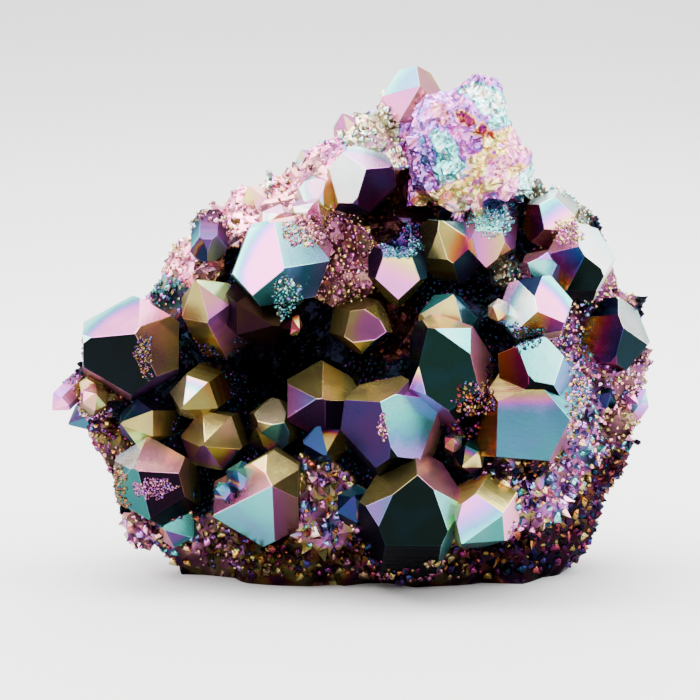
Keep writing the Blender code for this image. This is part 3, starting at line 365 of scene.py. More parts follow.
# prism faces that differ from the end face above them: film and brightness in hundredths, by side; the
# darkest, on lowerLeftBlue and bottomLarge, are painted shade on prisms in shadow
prismLooks = {
    "upperLarge": {5: (48, 90)}, "centreTall": {0: (44, 85)}, "centreTeal": {4: (47, 85)},
    "upperMidTeal": {0: (11, 90), 1: (42, 110), 5: (34, 60)}, "shield": {0: (20, 35), 5: (20, 35)},
    "lowerLeftBlue": {2: (15, 35), 3: (95, 12), 4: (90, 10)},
    "bottomSmall": {0: (42, 120), 1: (57, 100), 2: (57, 100)}, "crownViolet": {2: (54, 90)},
    "rightTop": {0: (3, 140), 1: (5, 140)}, "rightLarge": {5: (3, 140)},
    "rightPink": {3: (18, 50), 4: (50, 80)}, "rightCyan": {4: (20, 80)}, "farRight": {1: (73, 40)},
    "lowerRight": {5: (42, 50), 0: (15, 50), 1: (55, 70)}, "leftLarge": {5: (30, 40), 4: (45, 40)},
    "upperMidGold": {0: (20, 50)}, "leftSmallDark": {1: (28.5, 24), 2: (14, 90), 0: (30, 35)},
    "bottomLarge": {4: (100, 6), 3: (87, 10)},
}
crystalNames = list(crystals) + list(hiddenSideCrystals)
noLines = -50.0  # the height given to surfaces without growth lines
filmLayers = ("film", "shade", "rise")
faceFilm = {
    "stray": (2.6, 0.03),  # how the film strays over a face
    "start": 0.85, "length": 0.55,  # where it changes, in radii from the tip
    "middle": (0.55, 0.7), "width": 1.4,  # a face's middle and width, where it changes straight across
    # prism faces, from their top in radii: how the film changes where it isn't white, and how it darkens as
    # painted shade down into the crevices
    "prismTop": 1.3, "prismDrift": 0.06, "prismFrom": 0.08,
    "prismBright": 0.8, "prismMost": 1.15, "prismFade": 0.45, "prismLeast": 0.08,
    "glintStrip": (-0.02, 1.25, 0.08, 1.2),  # a bevelled edge strip, painted brighter as a glint: change of film, times as bright and more, at most
}


def filmOnCrystal(index, point):
    # film, brightness and height along the crystal at a corner of one of its faces
    number, side, isPrism = planeKeys[index]
    place, axis, radius, looks = crystalPlaces[number]
    atTip, atShoulder, bright, *heading = looks[side]
    away = point - place
    below = -away.dot(axis)
    stray = ripple(point, *faceFilm["stray"], (number * 3.1, side * 5.7, 0))
    if isPrism:
        # painted shade: prism faces are dimmer than the end faces above them
        bright = min(bright, faceFilm["prismMost"]) * faceFilm["prismBright"]
        given = prismLooks.get(crystalNames[number], {})
        if side in given:
            atShoulder, bright = shares(given[side])
        # painted shade: the prism darkens the further it reaches below its top, down into the crevices
        deep = max(0, below / radius - faceFilm["prismTop"])
        if atShoulder > faceFilm["prismFrom"]:
            atShoulder += faceFilm["prismDrift"] * deep + stray
        return atShoulder, bright * max(faceFilm["prismLeast"], 1 - faceFilm["prismFade"] * deep), below
    if heading:
        # straight across the face in the direction given, from where the change starts
        turned, start = radians(heading[0]), heading[1] if len(heading) > 1 else 0
        outward, downward = faceFilm["middle"]
        middle = (Vector(planeNormals[index + 1]) * outward - axis * downward) * radius
        along = (away.x - middle.x) * cos(turned) + (away.z - middle.z) * sin(turned)
        share = (0.5 + along / (radius * faceFilm["width"]) - start) / (1 - start)
    else:
        # the film keeps its colour over most of the face and changes near the shoulder
        share = (away.length / radius - faceFilm["start"]) / faceFilm["length"]
    share = min(1, max(0, share))
    share = share * share * (3 - 2 * share)
    return atTip + (atShoulder - atTip) * share + stray, bright * (1 + stray * 2), noLines


ground = {  # brightness between the grains where the film is even, as on the pale ridge, and elsewhere, where it is kept dark as painted shade between the grains
    "even": 0.85, "evenSpread": 0.07, "uneven": 0.24, "least": 0.04,
    "light": (2.6, 0.3), "wave": (1.7, 1), "fine": (0.6, 0.5),
}


def filmOnMatrix(point):
    film, spread, bright = zoneAt(point)[:3]
    wave = ripple(point, *ground["wave"]) + ripple(point, *ground["fine"])
    # painted shade: between the grains the matrix is dark, except where the film is even
    light = ground["even"] if spread < ground["evenSpread"] else ground["uneven"]
    light += ripple(point, *ground["light"])
    return film + spread * wave, bright * max(ground["least"], light)


block = {
    "patches": [  # from x and z to x and z in mm, half width, film, brightness
        (8.6, 46.5, 8.6, 46.4, 0.8, 0.45, 0.7), (10.9, 46.3, 10.9, 46.2, 0.8, 0.74, 0.6),
        (12.4, 44.9, 12.9, 44.7, 0.7, 0.74, 0.65), (10.4, 39.6, 14.6, 43.6, 0.45, 0.16, 0.75),
        (9.6, 38.6, 15, 44.2, 1.15, 0.57, 1.05), (12, 38.6, 17, 41.4, 0.55, 0.56, 1.05),
        (7, 37.8, 12, 37.4, 1.1, 0.5, 1.1), (8.2, 43.4, 10, 40.6, 1.5, 0.09, 1.1),
        (7.4, 41.5, 7.2, 44.5, 0.9, 0.28, 0.9), (13.6, 41.6, 15.2, 39.6, 1.3, 0.42, 1.2),
        (17, 38.6, 17.4, 40.6, 1.1, 0.07, 1.2), (15.6, 43.8, 16.2, 42.4, 1, 0.44, 1.1),
        (12, 48.2, 15.2, 47, 1.3, 0.05, 1.15), (9, 48, 12, 47, 1, 0.33, 1),
        (13.8, 45.4, 14.8, 45.8, 0.8, 0.12, 1.1),
    ],
    "film": 0.34, "bright": 0.95, "front": 1,  # away from the patches, and behind this depth in mm
    "ragged": (1.4, 0.7), "spread": (0.75, 0.12), "fine": (0.3, 0.07), "level": 0.95, "light": (0.5, 0.45),
}


def filmOnBlock(point):
    film, bright = block["film"], block["bright"]
    x = point.x - shift.x + ripple(point, *block["ragged"])
    z = point.z + ripple(point, *block["ragged"], (7, 3, 1))
    nearest = 1
    if point.y < block["front"]:
        for fromX, fromZ, toX, toZ, reach, patchFilm, patchBright in block["patches"]:
            lengthX, lengthZ = toX - fromX, toZ - fromZ
            along = ((x - fromX) * lengthX + (z - fromZ) * lengthZ) / (lengthX ** 2 + lengthZ ** 2)
            along = min(1, max(0, along))
            far = hypot(x - fromX - lengthX * along, z - fromZ - lengthZ * along) / reach
            if far < nearest:
                nearest, film, bright = far, patchFilm, patchBright
    film += ripple(point, *block["spread"]) + ripple(point, *block["fine"])
    return film, bright * (block["level"] + ripple(point, *block["light"]))


def addObject(name, data):
    made = bpy.data.objects.new(name, data)
    bpy.context.scene.collection.objects.link(made)
    return made


def newPiece(name, mesh):
    piece = addObject(name, mesh)
    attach(piece, "root")
    return piece


def tagFaces(bm):
    # marks each face with the crystal's face that it lies on, or with what else it lies on
    faceTag = bm.faces.layers.int.new("crystalFace")
    for face in bm.faces:
        face[faceTag] = facetOf(face.normal, face.calc_center_median() / mm)
    tagged = sum(1 for face in bm.faces if face[faceTag] >= 0)
    for face in bm.faces:
        # the coarse points of the druzy keep their own sharp faces
        small = len(face.verts) < 5 and face.calc_area() < growth["pointArea"] * mm * mm
        if face[faceTag] == matrixFace and small:
            steep = sum(1 for edge in face.edges if len(edge.link_faces) == 2 and edge.is_convex
                        and edge.calc_face_angle() > radians(growth["pointAngle"]))
            if steep >= 2:
                face[faceTag] = pointFace
        if face[faceTag] < 0 and onBlock(face.calc_center_median() / mm):
            face[faceTag] = blockFace
    print("cluster faces:", len(bm.faces), "on crystals:", tagged)
    return faceTag


def bevelEdges(bm, faceTag):
    # bevels the convex edges between crystal faces and marks the strips, which are later painted brighter
    # as glints
    glintStripTag = bm.faces.layers.int.new("glintStrip")
    least, beside = growth["edgeLeast"] * mm, growth["edgeBeside"] * mm
    sharp = []
    for edge in bm.edges:
        if len(edge.link_faces) != 2 or edge.calc_length() < least or not edge.is_convex:
            continue
        if any(face[faceTag] < 0 for face in edge.link_faces):
            continue
        if edge.calc_face_angle() < radians(growth["edgeAngle"]):
            continue
        if any(near.calc_length() < beside for vert in edge.verts for near in vert.link_edges):
            continue
        sharp.append(edge)
    strips = bmesh.ops.bevel(bm, geom=sharp, offset=growth["edgeWidth"] * mm, offset_type="OFFSET",
                             segments=2, profile=0.5, affect="EDGES", clamp_overlap=False, material=-1)
    for face in strips["faces"]:
        face[glintStripTag] = 1
    print("worn edges:", len(sharp))
    return glintStripTag


def putInOrder(bm):
    # some operators leave the faces in an order that changes from run to run
    corners = {face: sorted(tuple(vert.co) for vert in face.verts) for face in bm.faces}
    rank = {face: number for number, face in enumerate(sorted(corners, key=corners.get))}
    bm.faces.sort(key=rank.get)


def splitFaces(bm, chosen=lambda face: True):
    bmesh.ops.triangulate(bm, faces=[face for face in bm.faces if chosen(face) and len(face.verts) > 3])


def splitLongEdges(bm, longest, rounds, chosen):
    # shorter edges carry the changing film and, on the matrix, the fine relief
    for step in range(rounds):
        edges = [edge for edge in bm.edges if edge.calc_length() > longest * mm
                 and all(chosen(face) for face in edge.link_faces)]
        if not edges:
            break
        bmesh.ops.subdivide_edges(bm, edges=edges, cuts=1, use_grid_fill=False)
        splitFaces(bm, chosen)


relief = {
    "edges": {"matrix": (0.75, 6), "block": (0.5, 7), "crystal": (1.1, 6)},  # longest in mm, rounds
    "aboveCut": 0.25,  # mm, the cut itself stays flat
    "height": 0.26, "matrix": (1.2, 1), "sunk": 0.25, "matrixFine": (0.55, 0.1),
    "streak": (1.3, 0.45, 0.6), "slant": 0.7,  # along, across and into the block, in mm
    "blockFine": (0.32, 0.16), "blockSunk": 0.05,
}


def raiseRelief(bm, faceTag):
    # fine relief on the matrix and the block; crystal faces stay flat
    lowest = cadLow[2] + relief["aboveCut"] * mm
    moves = []
    for vert in bm.verts:
        kinds = {face[faceTag] for face in vert.link_faces}
        if vert.co.z < lowest or not kinds <= {matrixFace, blockFace}:
            continue
        point = vert.co / mm
        if matrixFace in kinds:
            height = relief["height"] * (ripple(point, *relief["matrix"]) - relief["sunk"])
            height += ripple(point, *relief["matrixFine"])
        else:
            # streaks that rise to the right across the block
            long, wide, deep = relief["streak"]
            along, across = (point.x + point.z) * relief["slant"], (point.x - point.z) * relief["slant"]
            height = ripple(Vector((along / long, across / wide, point.y / deep)), 1, relief["height"])
            height += ripple(point, *relief["blockFine"]) - relief["blockSunk"]
        moves.append((vert, vert.normal * height * mm))
    for vert, move in moves:
        vert.co += move


tints = {
    "seed": growth["seed"] + 3,
    # painted glints: each face of a coarse point, and of a grain, takes its brightness at random from these
    # steps, so some faces stand out bright
    "pointFilm": 0.8, "pointBright": (0.3, 0.6, 0.9, 1.2),  # how a coarse point's faces differ
    "grainFilm": 0.07, "grainBright": (0.25, 0.5, 0.75, 1, 1.25),
}


def layFilm(bm, faceTag, glintStripTag):
    # film, brightness and height along the crystal at each corner
    chance = random.Random(tints["seed"])
    film, shade, rise = [bm.loops.layers.float.new(name) for name in filmLayers]
    for face in bm.faces:
        index = face[faceTag]
        zoneFilm, spread, bright = zoneAt(face.calc_center_median() / mm)[:3]
        other = chance.uniform(-tints["pointFilm"], tints["pointFilm"])
        pointFilm = (zoneFilm + spread * other, bright * chance.choice(tints["pointBright"]), noLines)
        for loop in face.loops:
            point = loop.vert.co / mm
            if index >= 0:
                values = filmOnCrystal(index, point)
                # painted highlight: the bevelled strip along an edge is brighter, as a glint
                if face[glintStripTag]:
                    change, times, more, most = faceFilm["glintStrip"]
                    values = (values[0] + change, min(most, values[1] * times + more), values[2])
            elif index == blockFace:
                values = filmOnBlock(point) + (noLines,)
            elif index == pointFace:
                values = pointFilm
            else:
                values = filmOnMatrix(point) + (noLines,)
            loop[film], loop[shade], loop[rise] = values
        face.smooth = False


def buildCluster():
    bm = bmesh.new()
    bm.from_mesh(clusterNode.data)
    bmesh.ops.remove_doubles(bm, verts=bm.verts, dist=growth["mergeDistance"])
    bmesh.ops.dissolve_limit(bm, angle_limit=radians(growth["flatAngle"]), use_dissolve_boundaries=False,
                             verts=bm.verts, edges=bm.edges, delimit=set())
    bm.normal_update()
    faceTag = tagFaces(bm)
    glintStripTag = bevelEdges(bm, faceTag)
    splitFaces(bm)
    splitLongEdges(bm, *relief["edges"]["matrix"], lambda face: face[faceTag] == matrixFace)
    splitLongEdges(bm, *relief["edges"]["block"], lambda face: face[faceTag] == blockFace)
    splitLongEdges(bm, *relief["edges"]["crystal"], lambda face: face[faceTag] >= 0)
    bm.normal_update()
    raiseRelief(bm, faceTag)
    putInOrder(bm)
    layFilm(bm, faceTag, glintStripTag)
    mesh = bpy.data.meshes.new("quartzCluster")
    bm.to_mesh(mesh)
    tags = [face[faceTag] for face in bm.faces]
    bm.free()
    piece = newPiece("quartzCluster", mesh)
    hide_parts("aura_quartz_cluster")
    return piece, tags


# lengths are in radii of a grain where they aren't in mm
druzy = {
    # crusts on crystal faces: centre x and z in mm, half width, half height, then as in the zones
    "crusts": [
        (-20.5, 23.2, 0.8, 2.1, 42, 24, 45, 26, 180), (-19.5, 10.6, 2.1, 1, 39, 8, 90, 24, 190),
        (-23, 10.2, 0.9, 2.4, 55, 10, 50, 26, 70), (-6.6, 29.5, 1.3, 2.1, 12, 10, 70, 36, 140),
        (4.4, 33.8, 2.2, 0.9, 20, 12, 70, 34, 160), (20.7, 34.9, 1.3, 1.1, 47, 12, 100, 34, 150),
        (15.1, 5.1, 0.8, 2.6, 42, 10, 110, 36, 160), (13.5, 36.2, 2.2, 1.6, 12, 10, 100, 30, 150),
        (11.2, 20, 1.9, 1.7, 48, 26, 50, 40, 120), (22.2, 18.2, 1.9, 5.4, 40, 24, 90, 42, 150),
        (-14, 37.1, 1.6, 0.9, 6, 6, 120, 28, 160), (-4, 35.3, 3, 1.3, 46, 8, 90, 38, 140),
        (15.3, 25.9, 2.4, 1, 18, 8, 55, 30, 140), (2.6, 17.5, 0.6, 1.2, 44, 10, 90, 28, 140),
    ],
    "seed": 23,
    "rootsBelow": 2.3, "rootsRagged": (1.1, 0.7),  # radii below the tip, where druzy climbs the prism
    "rootsBright": 0.55, "rootsSize": 0.7, "rootsCover": 0.5,
    "crustBehind": 3, "crustFacing": 0.3, "crustRagged": (0.7, 0.35),
    "behind": 7,          # mm, further back the druzy is a piece by itself and thins out
    "backCover": 0.8, "bare": (6, 1), "bareLevel": -0.05, "bareCover": 0.15,
    "lowest": 1,          # mm above the cut
    "number": 2.6,        # grains in the area of one, before crowded ones are left out
    "closeness": 0.62, "crustCloseness": 0.42,
    "sizes": (0.42, 1, 1.3), "reach": 1.25, "cell": 1.5,
    "wander": 0.42, "lean": (0, -0.12, 0.05), "sunk": 0.12, "tall": 1.2, "margin": 0.1,
    "bright": (0.55, 1.15),
    "sides": (3, 3, 4, 3, 5, 4, 6), "tipAside": 0.25, "tipHeight": (-0.15, 0.35),
    "footSize": (0.85, 1.15), "footHeight": 0.15, "rootSize": 0.8, "rootDepth": 0.8,
}


def either(chance, most):
    # a draw to either side of zero
    return chance.uniform(-most, most)


def ofType(items, kind):
    return [item for item in items if isinstance(item, kind)]


def grainShapes():
    # small quartz points of one unit radius: a cone of few sides on a short root
    shapes = []
    chance = random.Random(druzy["seed"])
    for sideCount in druzy["sides"]:
        bm = bmesh.new()
        bmesh.ops.create_cone(bm, cap_ends=True, segments=sideCount, radius1=1, radius2=0, depth=1,
                              matrix=Matrix.Translation((0, 0, 0.5)))
        for vert in bm.verts:
            if vert.co.z > 0.5:
                vert.co += Vector((either(chance, druzy["tipAside"]), either(chance, druzy["tipAside"]),
                                   chance.uniform(*druzy["tipHeight"])))
            else:
                vert.co *= chance.uniform(*druzy["footSize"])
                vert.co.z += either(chance, druzy["footHeight"])
        foot = [face for face in bm.faces if len(face.verts) == sideCount and face.normal.z < -0.5]
        root = bmesh.ops.extrude_face_region(bm, geom=foot)
        bmesh.ops.delete(bm, geom=foot, context="FACES_ONLY")
        narrow = druzy["rootSize"]
        for vert in ofType(root["geom"], bmesh.types.BMVert):
            vert.co = Vector((vert.co.x * narrow, vert.co.y * narrow, vert.co.z - druzy["rootDepth"]))
        bmesh.ops.triangulate(bm, faces=bm.faces)
        bmesh.ops.recalc_face_normals(bm, faces=bm.faces)
        putInOrder(bm)
        bm.verts.ensure_lookup_table()
        points = np.array([tuple(vert.co) for vert in bm.verts])
        corners = np.array([[vert.index for vert in face.verts] for face in bm.faces])
        shapes.append((points, corners))
        bm.free()
    return shapes


def plantGrains(name, grains, shapes):
    # grains: place, direction, radius, turn, film, brightness, shape
    allPoints, allCorners, films, shades = [], [], [], []
    base = 0
    tint = random.Random(druzy["seed"] + 5)
    for place, direction, radius, turn, film, bright, shapeNumber in grains:
        points, corners = shapes[shapeNumber]
        upright = Vector((0, 0, 1)).rotation_difference(direction).to_matrix()
        turned = np.array(upright @ Matrix.Rotation(turn, 3, "Z")) * radius
        allPoints.append((points @ turned.T + np.array(place)) * mm)
        allCorners.append(corners + base)
        base += len(points)
        for corner in corners:
            films.extend((film + either(tint, tints["grainFilm"]),) * 3)
            shades.extend((bright * tint.choice(tints["grainBright"]),) * 3)
    allPoints = np.concatenate(allPoints)
    allCorners = np.concatenate(allCorners)
    mesh = bpy.data.meshes.new(name)
    mesh.vertices.add(len(allPoints))
    mesh.vertices.foreach_set("co", allPoints.ravel())
    mesh.loops.add(len(allCorners) * 3)
    mesh.loops.foreach_set("vertex_index", allCorners.ravel())
    mesh.polygons.add(len(allCorners))
    mesh.polygons.foreach_set("loop_start", np.arange(0, len(allCorners) * 3, 3))
    mesh.update(calc_edges=True)
    mesh.validate()
    for layerName, numbers in zip(filmLayers, (films, shades, [noLines] * len(films))):
        layer = mesh.attributes.new(layerName, "FLOAT", "CORNER")
        layer.data.foreach_set("value", numbers)
    print(name + ":", len(grains), "grains,", len(allCorners), "triangles")
    return newPiece(name, mesh)


def crustAt(centre, normal, tag):
    # the crust that covers a spot on a crystal's face, or None
    number, isPrism = planeKeys[tag][::2]
    tip, axis, radius = crystalPlaces[number][:3]
    deep = (tip - centre).dot(axis) / radius
    if isPrism and deep > druzy["rootsBelow"] + ripple(centre, *druzy["rootsRagged"]):
        film, spread, bright, size, cover = zoneAt(centre)
        bright = max(druzy["rootsBright"], bright)
        return film, spread, bright, size * druzy["rootsSize"], cover * druzy["rootsCover"]
    if centre.y > druzy["crustBehind"] or normal.y > druzy["crustFacing"]:
        return None
    ragged = 1 + ripple(centre, *druzy["crustRagged"])
    for x, z, halfWidth, halfHeight, *values in druzy["crusts"]:
        if hypot((centre.x - x) / halfWidth, (centre.z - z) / halfHeight) < ragged:
            return shares(values)
    return None


def isCrowded(cells, cell, place, reach, closeness):
    for i, j, k in itertools.product((-1, 0, 1), repeat=3):
        for other, otherReach in cells.get((cell[0] + i, cell[1] + j, cell[2] + k), ()):
            if (other - place).length < (reach + otherReach) * closeness:
                return True
    return False


def scatterDruzy(piece, tags, shapeCount):
    # points by area on the open matrix, kept apart by their own size
    mesh = piece.data
    pick = random.Random(druzy["seed"] + 1)
    low, high = Vector(cadLow) / mm, Vector(cadHigh) / mm
    least, most, power = druzy["sizes"]
    cells = {}
    front, behind = [], []
    order = [(polygon, tag) for polygon, tag in zip(mesh.polygons, tags) if tag >= matrixFace]
    pick.shuffle(order)
    for polygon, tag in order:
        centre, normal = polygon.center / mm, polygon.normal
        values = zoneAt(centre) if tag == matrixFace else crustAt(centre, normal, tag)
        if centre.z < druzy["lowest"] or values is None:
            continue
        film, spread, bright, size, cover = values
        closeness = druzy["closeness"] if tag == matrixFace else druzy["crustCloseness"]
        atBack = centre.y > druzy["behind"]
        wanted = polygon.area / (mm * mm) * cover * (druzy["backCover"] if atBack else 1)
        wanted = wanted * druzy["number"] / (size * size)
        if atBack and ripple(centre, *druzy["bare"]) < druzy["bareLevel"]:
            wanted *= druzy["bareCover"]
        corners = sorted((mesh.vertices[index].co / mm for index in polygon.vertices), key=tuple)
        for attempt in range(int(wanted) + (1 if pick.random() < wanted % 1 else 0)):
            a, b = pick.random(), pick.random()
            if a + b > 1:
                a, b = 1 - a, 1 - b
            place = corners[0] + (corners[1] - corners[0]) * a + (corners[2] - corners[0]) * b
            radius = size * pick.uniform(least, most) ** power
            reach = radius * druzy["reach"]
            cell = tuple(int(along // druzy["cell"]) for along in place)
            if isCrowded(cells, cell, place, reach, closeness):
                continue
            wander = Vector([either(pick, 1) for axis in range(3)])
            direction = (normal + wander * druzy["wander"] + Vector(druzy["lean"])).normalized()
            seat = place - direction * radius * druzy["sunk"]
            top = seat + direction * radius * druzy["tall"]
            margin = druzy["margin"]
            if any(top[i] < low[i] + margin or top[i] > high[i] - margin for i in range(3)):
                continue
            if any(seat[i] - radius < low[i] or seat[i] + radius > high[i] for i in range(3)):
                continue
            cells.setdefault(cell, []).append((place, reach))
            grain = (seat, direction, radius, pick.uniform(0, tau), film + spread * either(pick, 1),
                     bright * pick.uniform(*druzy["bright"]), pick.randrange(shapeCount))
            (behind if atBack else front).append(grain)
    return front, behind


class Value:
    # a socket that can be added, taken away and multiplied
    def __init__(self, look, socket):
        self.look, self.socket = look, socket

    def __add__(self, other): return self.look.math("ADD", self, other)
    def __radd__(self, other): return self.look.math("ADD", other, self)
    def __sub__(self, other): return self.look.math("SUBTRACT", self, other)
    def __rsub__(self, other): return self.look.math("SUBTRACT", other, self)
    def __mul__(self, other): return self.look.math("MULTIPLY", self, other)
    def __rmul__(self, other): return self.look.math("MULTIPLY", other, self)


class Look:
    def __init__(self, name):
        self.material = bpy.data.materials.new(name)
        self.material.use_nodes = True
        self.tree = self.material.node_tree
        self.shader = self.tree.nodes["Principled BSDF"]

    def node(self, kind, settings=None, values=None, out=0):
        made = self.tree.nodes.new(kind)
        for key, setting in (settings or {}).items():
            if key == "stops":
                ramp = made.color_ramp
                while len(ramp.elements) < len(setting):
                    ramp.elements.new(0.5)
                for element, (position, colour) in zip(ramp.elements, setting):
                    element.position = position
                    element.color = tuple(colour) + (1,)
            else:
                setattr(made, key, setting)
        for key, value in (values or {}).items():
            self.put(made.inputs[key], value)
        return Value(self, made.outputs[out])

    def put(self, socket, value):
        if isinstance(value, Value):
            self.tree.links.new(value.socket, socket)
        else:
            socket.default_value = value

    def surface(self, inputs):
        for key, value in inputs.items():
            self.put(self.shader.inputs[key], value)

    def math(self, operation, a, b=0, clamp=False):
        return self.node("ShaderNodeMath", {"operation": operation, "use_clamp": clamp}, {0: a, 1: b})

    def mix(self, factor, a, b, blend="MIX"):
        return self.node("ShaderNodeMix", {"data_type": "RGBA", "blend_type": blend, "clamp_factor": True},
                         {0: factor, 6: a, 7: b}, out=2)

    def attribute(self, name):
        return self.node("ShaderNodeAttribute", {"attribute_name": name}, out=2)

    def noise(self, place, scale, detail=3, roughness=0.55):
        values = {"Vector": place, "Scale": scale, "Detail": detail, "Roughness": roughness}
        return self.node("ShaderNodeTexNoise", {}, values)

    def bump(self, height, strength, distance):
        values = {"Height": height, "Strength": strength, "Distance": distance}
        return self.node("ShaderNodeBump", {}, values)


finish = {
    "metallic": 0.9, "roughness": 0.24, "grainRoughness": 0.2, "edgeTint": (0.45, 0.45, 0.5, 1),
    "broad": (420, 3), "fine": (2400, 4, 0.6), "tiny": (9000, 2, 0.6), "broadRough": 0.14, "fineRough": 0.1,
    "drift": 0.03, "grainDrift": 0.018,  # how much the film wanders over a face
    "depth": 1.45, "toneLow": 0.86, "toneRise": 0.28,  # how much darker a film painted dim is made, deepening its painted shade
    # past this brightness the film fades to white, partly as painted highlight
    "paleFrom": 1.05, "paleLow": 0.55, "paleRise": 0.4, "pale": (0.97, 0.97, 0.97, 1),
    # growth lines: waves in a mm, how much they stray, and what they do to the film, gloss and height
    "lines": (19, 16), "broadLines": (5.3, 11), "lineFilm": 0.022, "lineRough": 0.07, "lineHeight": 0.35,
    "bump": (0.2, 0.00006),
}


def coatedLook(name, roughness, drift, lines):
    look = Look(name)
    place = look.node("ShaderNodeTexCoord", out=3)
    film, shade, rise = [look.attribute(layer) for layer in filmLayers]
    broad, fine, tiny = [look.noise(place, *finish[size]) for size in ("broad", "fine", "tiny")]
    onPrism = look.math("GREATER_THAN", rise, noLines / 5) * lines
    narrow, wide = [look.math("SINE", rise * often + broad * stray)
                    for often, stray in (finish["lines"], finish["broadLines"])]
    steps = narrow * 0.5 + wide
    phase = film + (broad - 0.5) * (drift * 2.2) + (fine - 0.5) * drift
    phase = phase + onPrism * steps * finish["lineFilm"]
    colour = look.node("ShaderNodeValToRGB", {"stops": filmStops}, {0: phase})
    # the brightness attribute darkens the film, partly as painted shade, and past paleFrom whitens it,
    # partly as painted highlight
    tone = look.math("POWER", look.math("MINIMUM", shade, 1), finish["depth"])
    tone = tone * (finish["toneLow"] + broad * finish["toneRise"])
    grey = look.node("ShaderNodeCombineColor", {}, {0: tone, 1: tone, 2: tone})
    colour = look.mix(1, colour, grey, "MULTIPLY")
    pale = look.math("SUBTRACT", shade, finish["paleFrom"], clamp=True)
    heights = fine * 0.5 + tiny * 0.25 + onPrism * steps * finish["lineHeight"]
    whiter = pale * (finish["paleLow"] + broad * finish["paleRise"])
    rough = roughness + (broad - 0.5) * finish["broadRough"] + (fine - 0.5) * finish["fineRough"]
    look.surface({
        "Base Color": look.mix(whiter, colour, finish["pale"]),
        "Metallic": finish["metallic"],
        "Specular Tint": finish["edgeTint"],
        "Roughness": rough + onPrism * finish["lineRough"],
        "Normal": look.bump(heights, *finish["bump"]),
    })
    return look.material


crystalLook = coatedLook("filmOnCrystals", finish["roughness"], finish["drift"], 1)
grainLook = coatedLook("filmOnDruzy", finish["grainRoughness"], finish["grainDrift"], 0)

cluster, clusterTags = buildCluster()
cluster.data.materials.clear()
cluster.data.materials.append(crystalLook)
shapes = grainShapes()
frontGrains, backGrains = scatterDruzy(cluster, clusterTags, len(shapes))
for pieceName, grains in (("druzyFront", frontGrains), ("druzyBack", backGrains)):
    piece = plantGrains(pieceName, grains, shapes)
    piece.data.materials.append(grainLook)
print("druzy planted")

studio = {
    "floor": (0.8, 0.79, 0.78, 1), "floorGrey": (0.7, 0.7, 0.7, 1), "floorRoughness": 0.85,
    "floorGrain": (900, 2), "floorGrainMix": 0.05,
    "world": (0.55, 0.56, 0.58, 1), "worldStrength": 0.55,
    "sweepStart": 200, "sweepRadius": 700, "sweepTop": 1200, "sweepSteps": 24, "halfWidth": 1500,
    "cameraDistance": 291.7, "cameraHeightAngle": 8, "lens": 150, "sensor": 36,
    "clip": (0.01, 20), "target": (-0.25, 0, 22.6), "middle": (0, 0, 22),
}
# place in mm, size in mm, watts, colour, and where it points if not at the middle of the cluster
lights = {
    "keyAbove": ((-50, -30, 310), 360, 2.5, (1, 0.98, 0.96)),
    "rightSide": ((265, 30, 180), 320, 2.4, (0.95, 0.98, 1)),
    "leftSide": ((-265, 40, 180), 320, 2.3, (1, 0.97, 0.99)),
    "frontFill": ((60, -340, 150), 260, 0.9, (1, 1, 1)),
    "rim": ((20, 260, 240), 240, 1.2, (0.97, 0.98, 1)),
    "backdrop": ((0, 120, 700), 500, 9, (1, 1, 1), (0, 800, 150)),
}


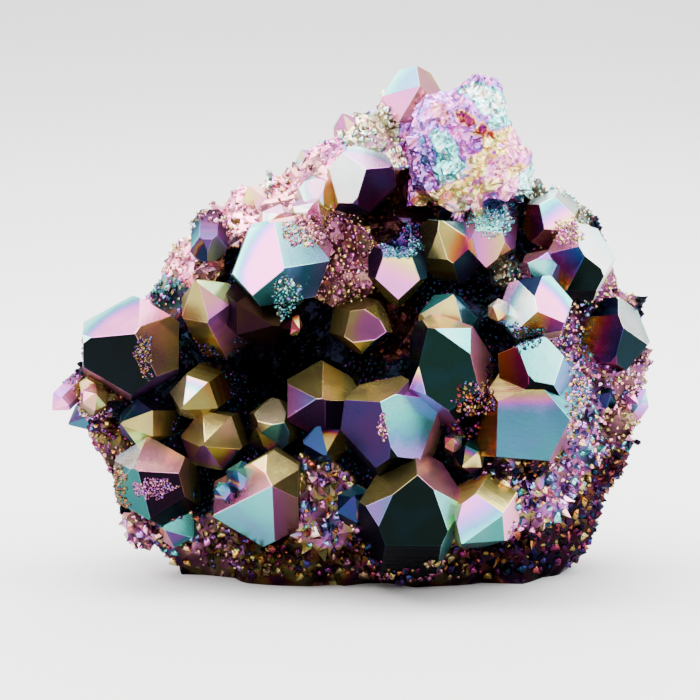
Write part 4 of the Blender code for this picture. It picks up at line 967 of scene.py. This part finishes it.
def layFloor():
    # plain paper that curves up behind into a wall
    bm = bmesh.new()
    half, start = studio["halfWidth"] * mm, studio["sweepStart"] * mm
    front = [bm.verts.new((x, -2 * half, 0)) for x in (-half, half)]
    grown = bmesh.ops.extrude_edge_only(bm, edges=[bm.edges.new(front)])["geom"]
    moved, line = ofType(grown, bmesh.types.BMVert), ofType(grown, bmesh.types.BMEdge)
    bmesh.ops.translate(bm, verts=moved, vec=(0, 2 * half + start, 0))
    bend = bmesh.ops.spin(bm, geom=moved + line, cent=(0, start, studio["sweepRadius"] * mm),
                          axis=(1, 0, 0), angle=radians(90), steps=studio["sweepSteps"],
                          use_duplicate=False)
    grown = bmesh.ops.extrude_edge_only(bm, edges=ofType(bend["geom_last"], bmesh.types.BMEdge))["geom"]
    moved = ofType(grown, bmesh.types.BMVert)
    bmesh.ops.translate(bm, verts=moved, vec=(0, 0, studio["sweepTop"] * mm))
    bmesh.ops.recalc_face_normals(bm, faces=bm.faces)
    for face in bm.faces:
        face.smooth = True
    mesh = bpy.data.meshes.new("floor")
    bm.to_mesh(mesh)
    bm.free()
    floor = addObject("floor", mesh)
    look = Look("floorPaper")
    grain = look.noise(look.node("ShaderNodeTexCoord", out=3), *studio["floorGrain"])
    colour = look.mix(grain * studio["floorGrainMix"], studio["floor"], studio["floorGrey"])
    look.surface({"Base Color": colour, "Roughness": studio["floorRoughness"]})
    mesh.materials.append(look.material)


def aimed(name, data, place, target):
    # a lamp or camera that points at its target
    made = addObject(name, data)
    made.location = place
    made.rotation_euler = (target - made.location).to_track_quat("-Z", "Y").to_euler()
    return made


def setStudio():
    layFloor()
    world = bpy.data.worlds.new("studio")
    world.use_nodes = True
    background = world.node_tree.nodes["Background"]
    background.inputs["Color"].default_value = studio["world"]
    background.inputs["Strength"].default_value = studio["worldStrength"]
    bpy.context.scene.world = world
    for name, (place, size, watts, colour, *aim) in lights.items():
        data = bpy.data.lights.new(name, "AREA")
        data.shape, data.size, data.energy, data.color = "SQUARE", size * mm, watts, colour
        aimed(name, data, Vector(place) * mm, Vector(aim[0] if aim else studio["middle"]) * mm)
    centre = (Vector(studio["target"]) + shift) * mm
    angle = radians(studio["cameraHeightAngle"])
    data = bpy.data.cameras.new("camera")
    data.lens, data.sensor_width = studio["lens"], studio["sensor"]
    data.clip_start, data.clip_end = studio["clip"]
    away = Vector((0, -cos(angle), sin(angle))) * studio["cameraDistance"] * mm
    bpy.context.scene.camera = aimed("camera", data, centre + away, centre)


setStudio()
print("studio ready")
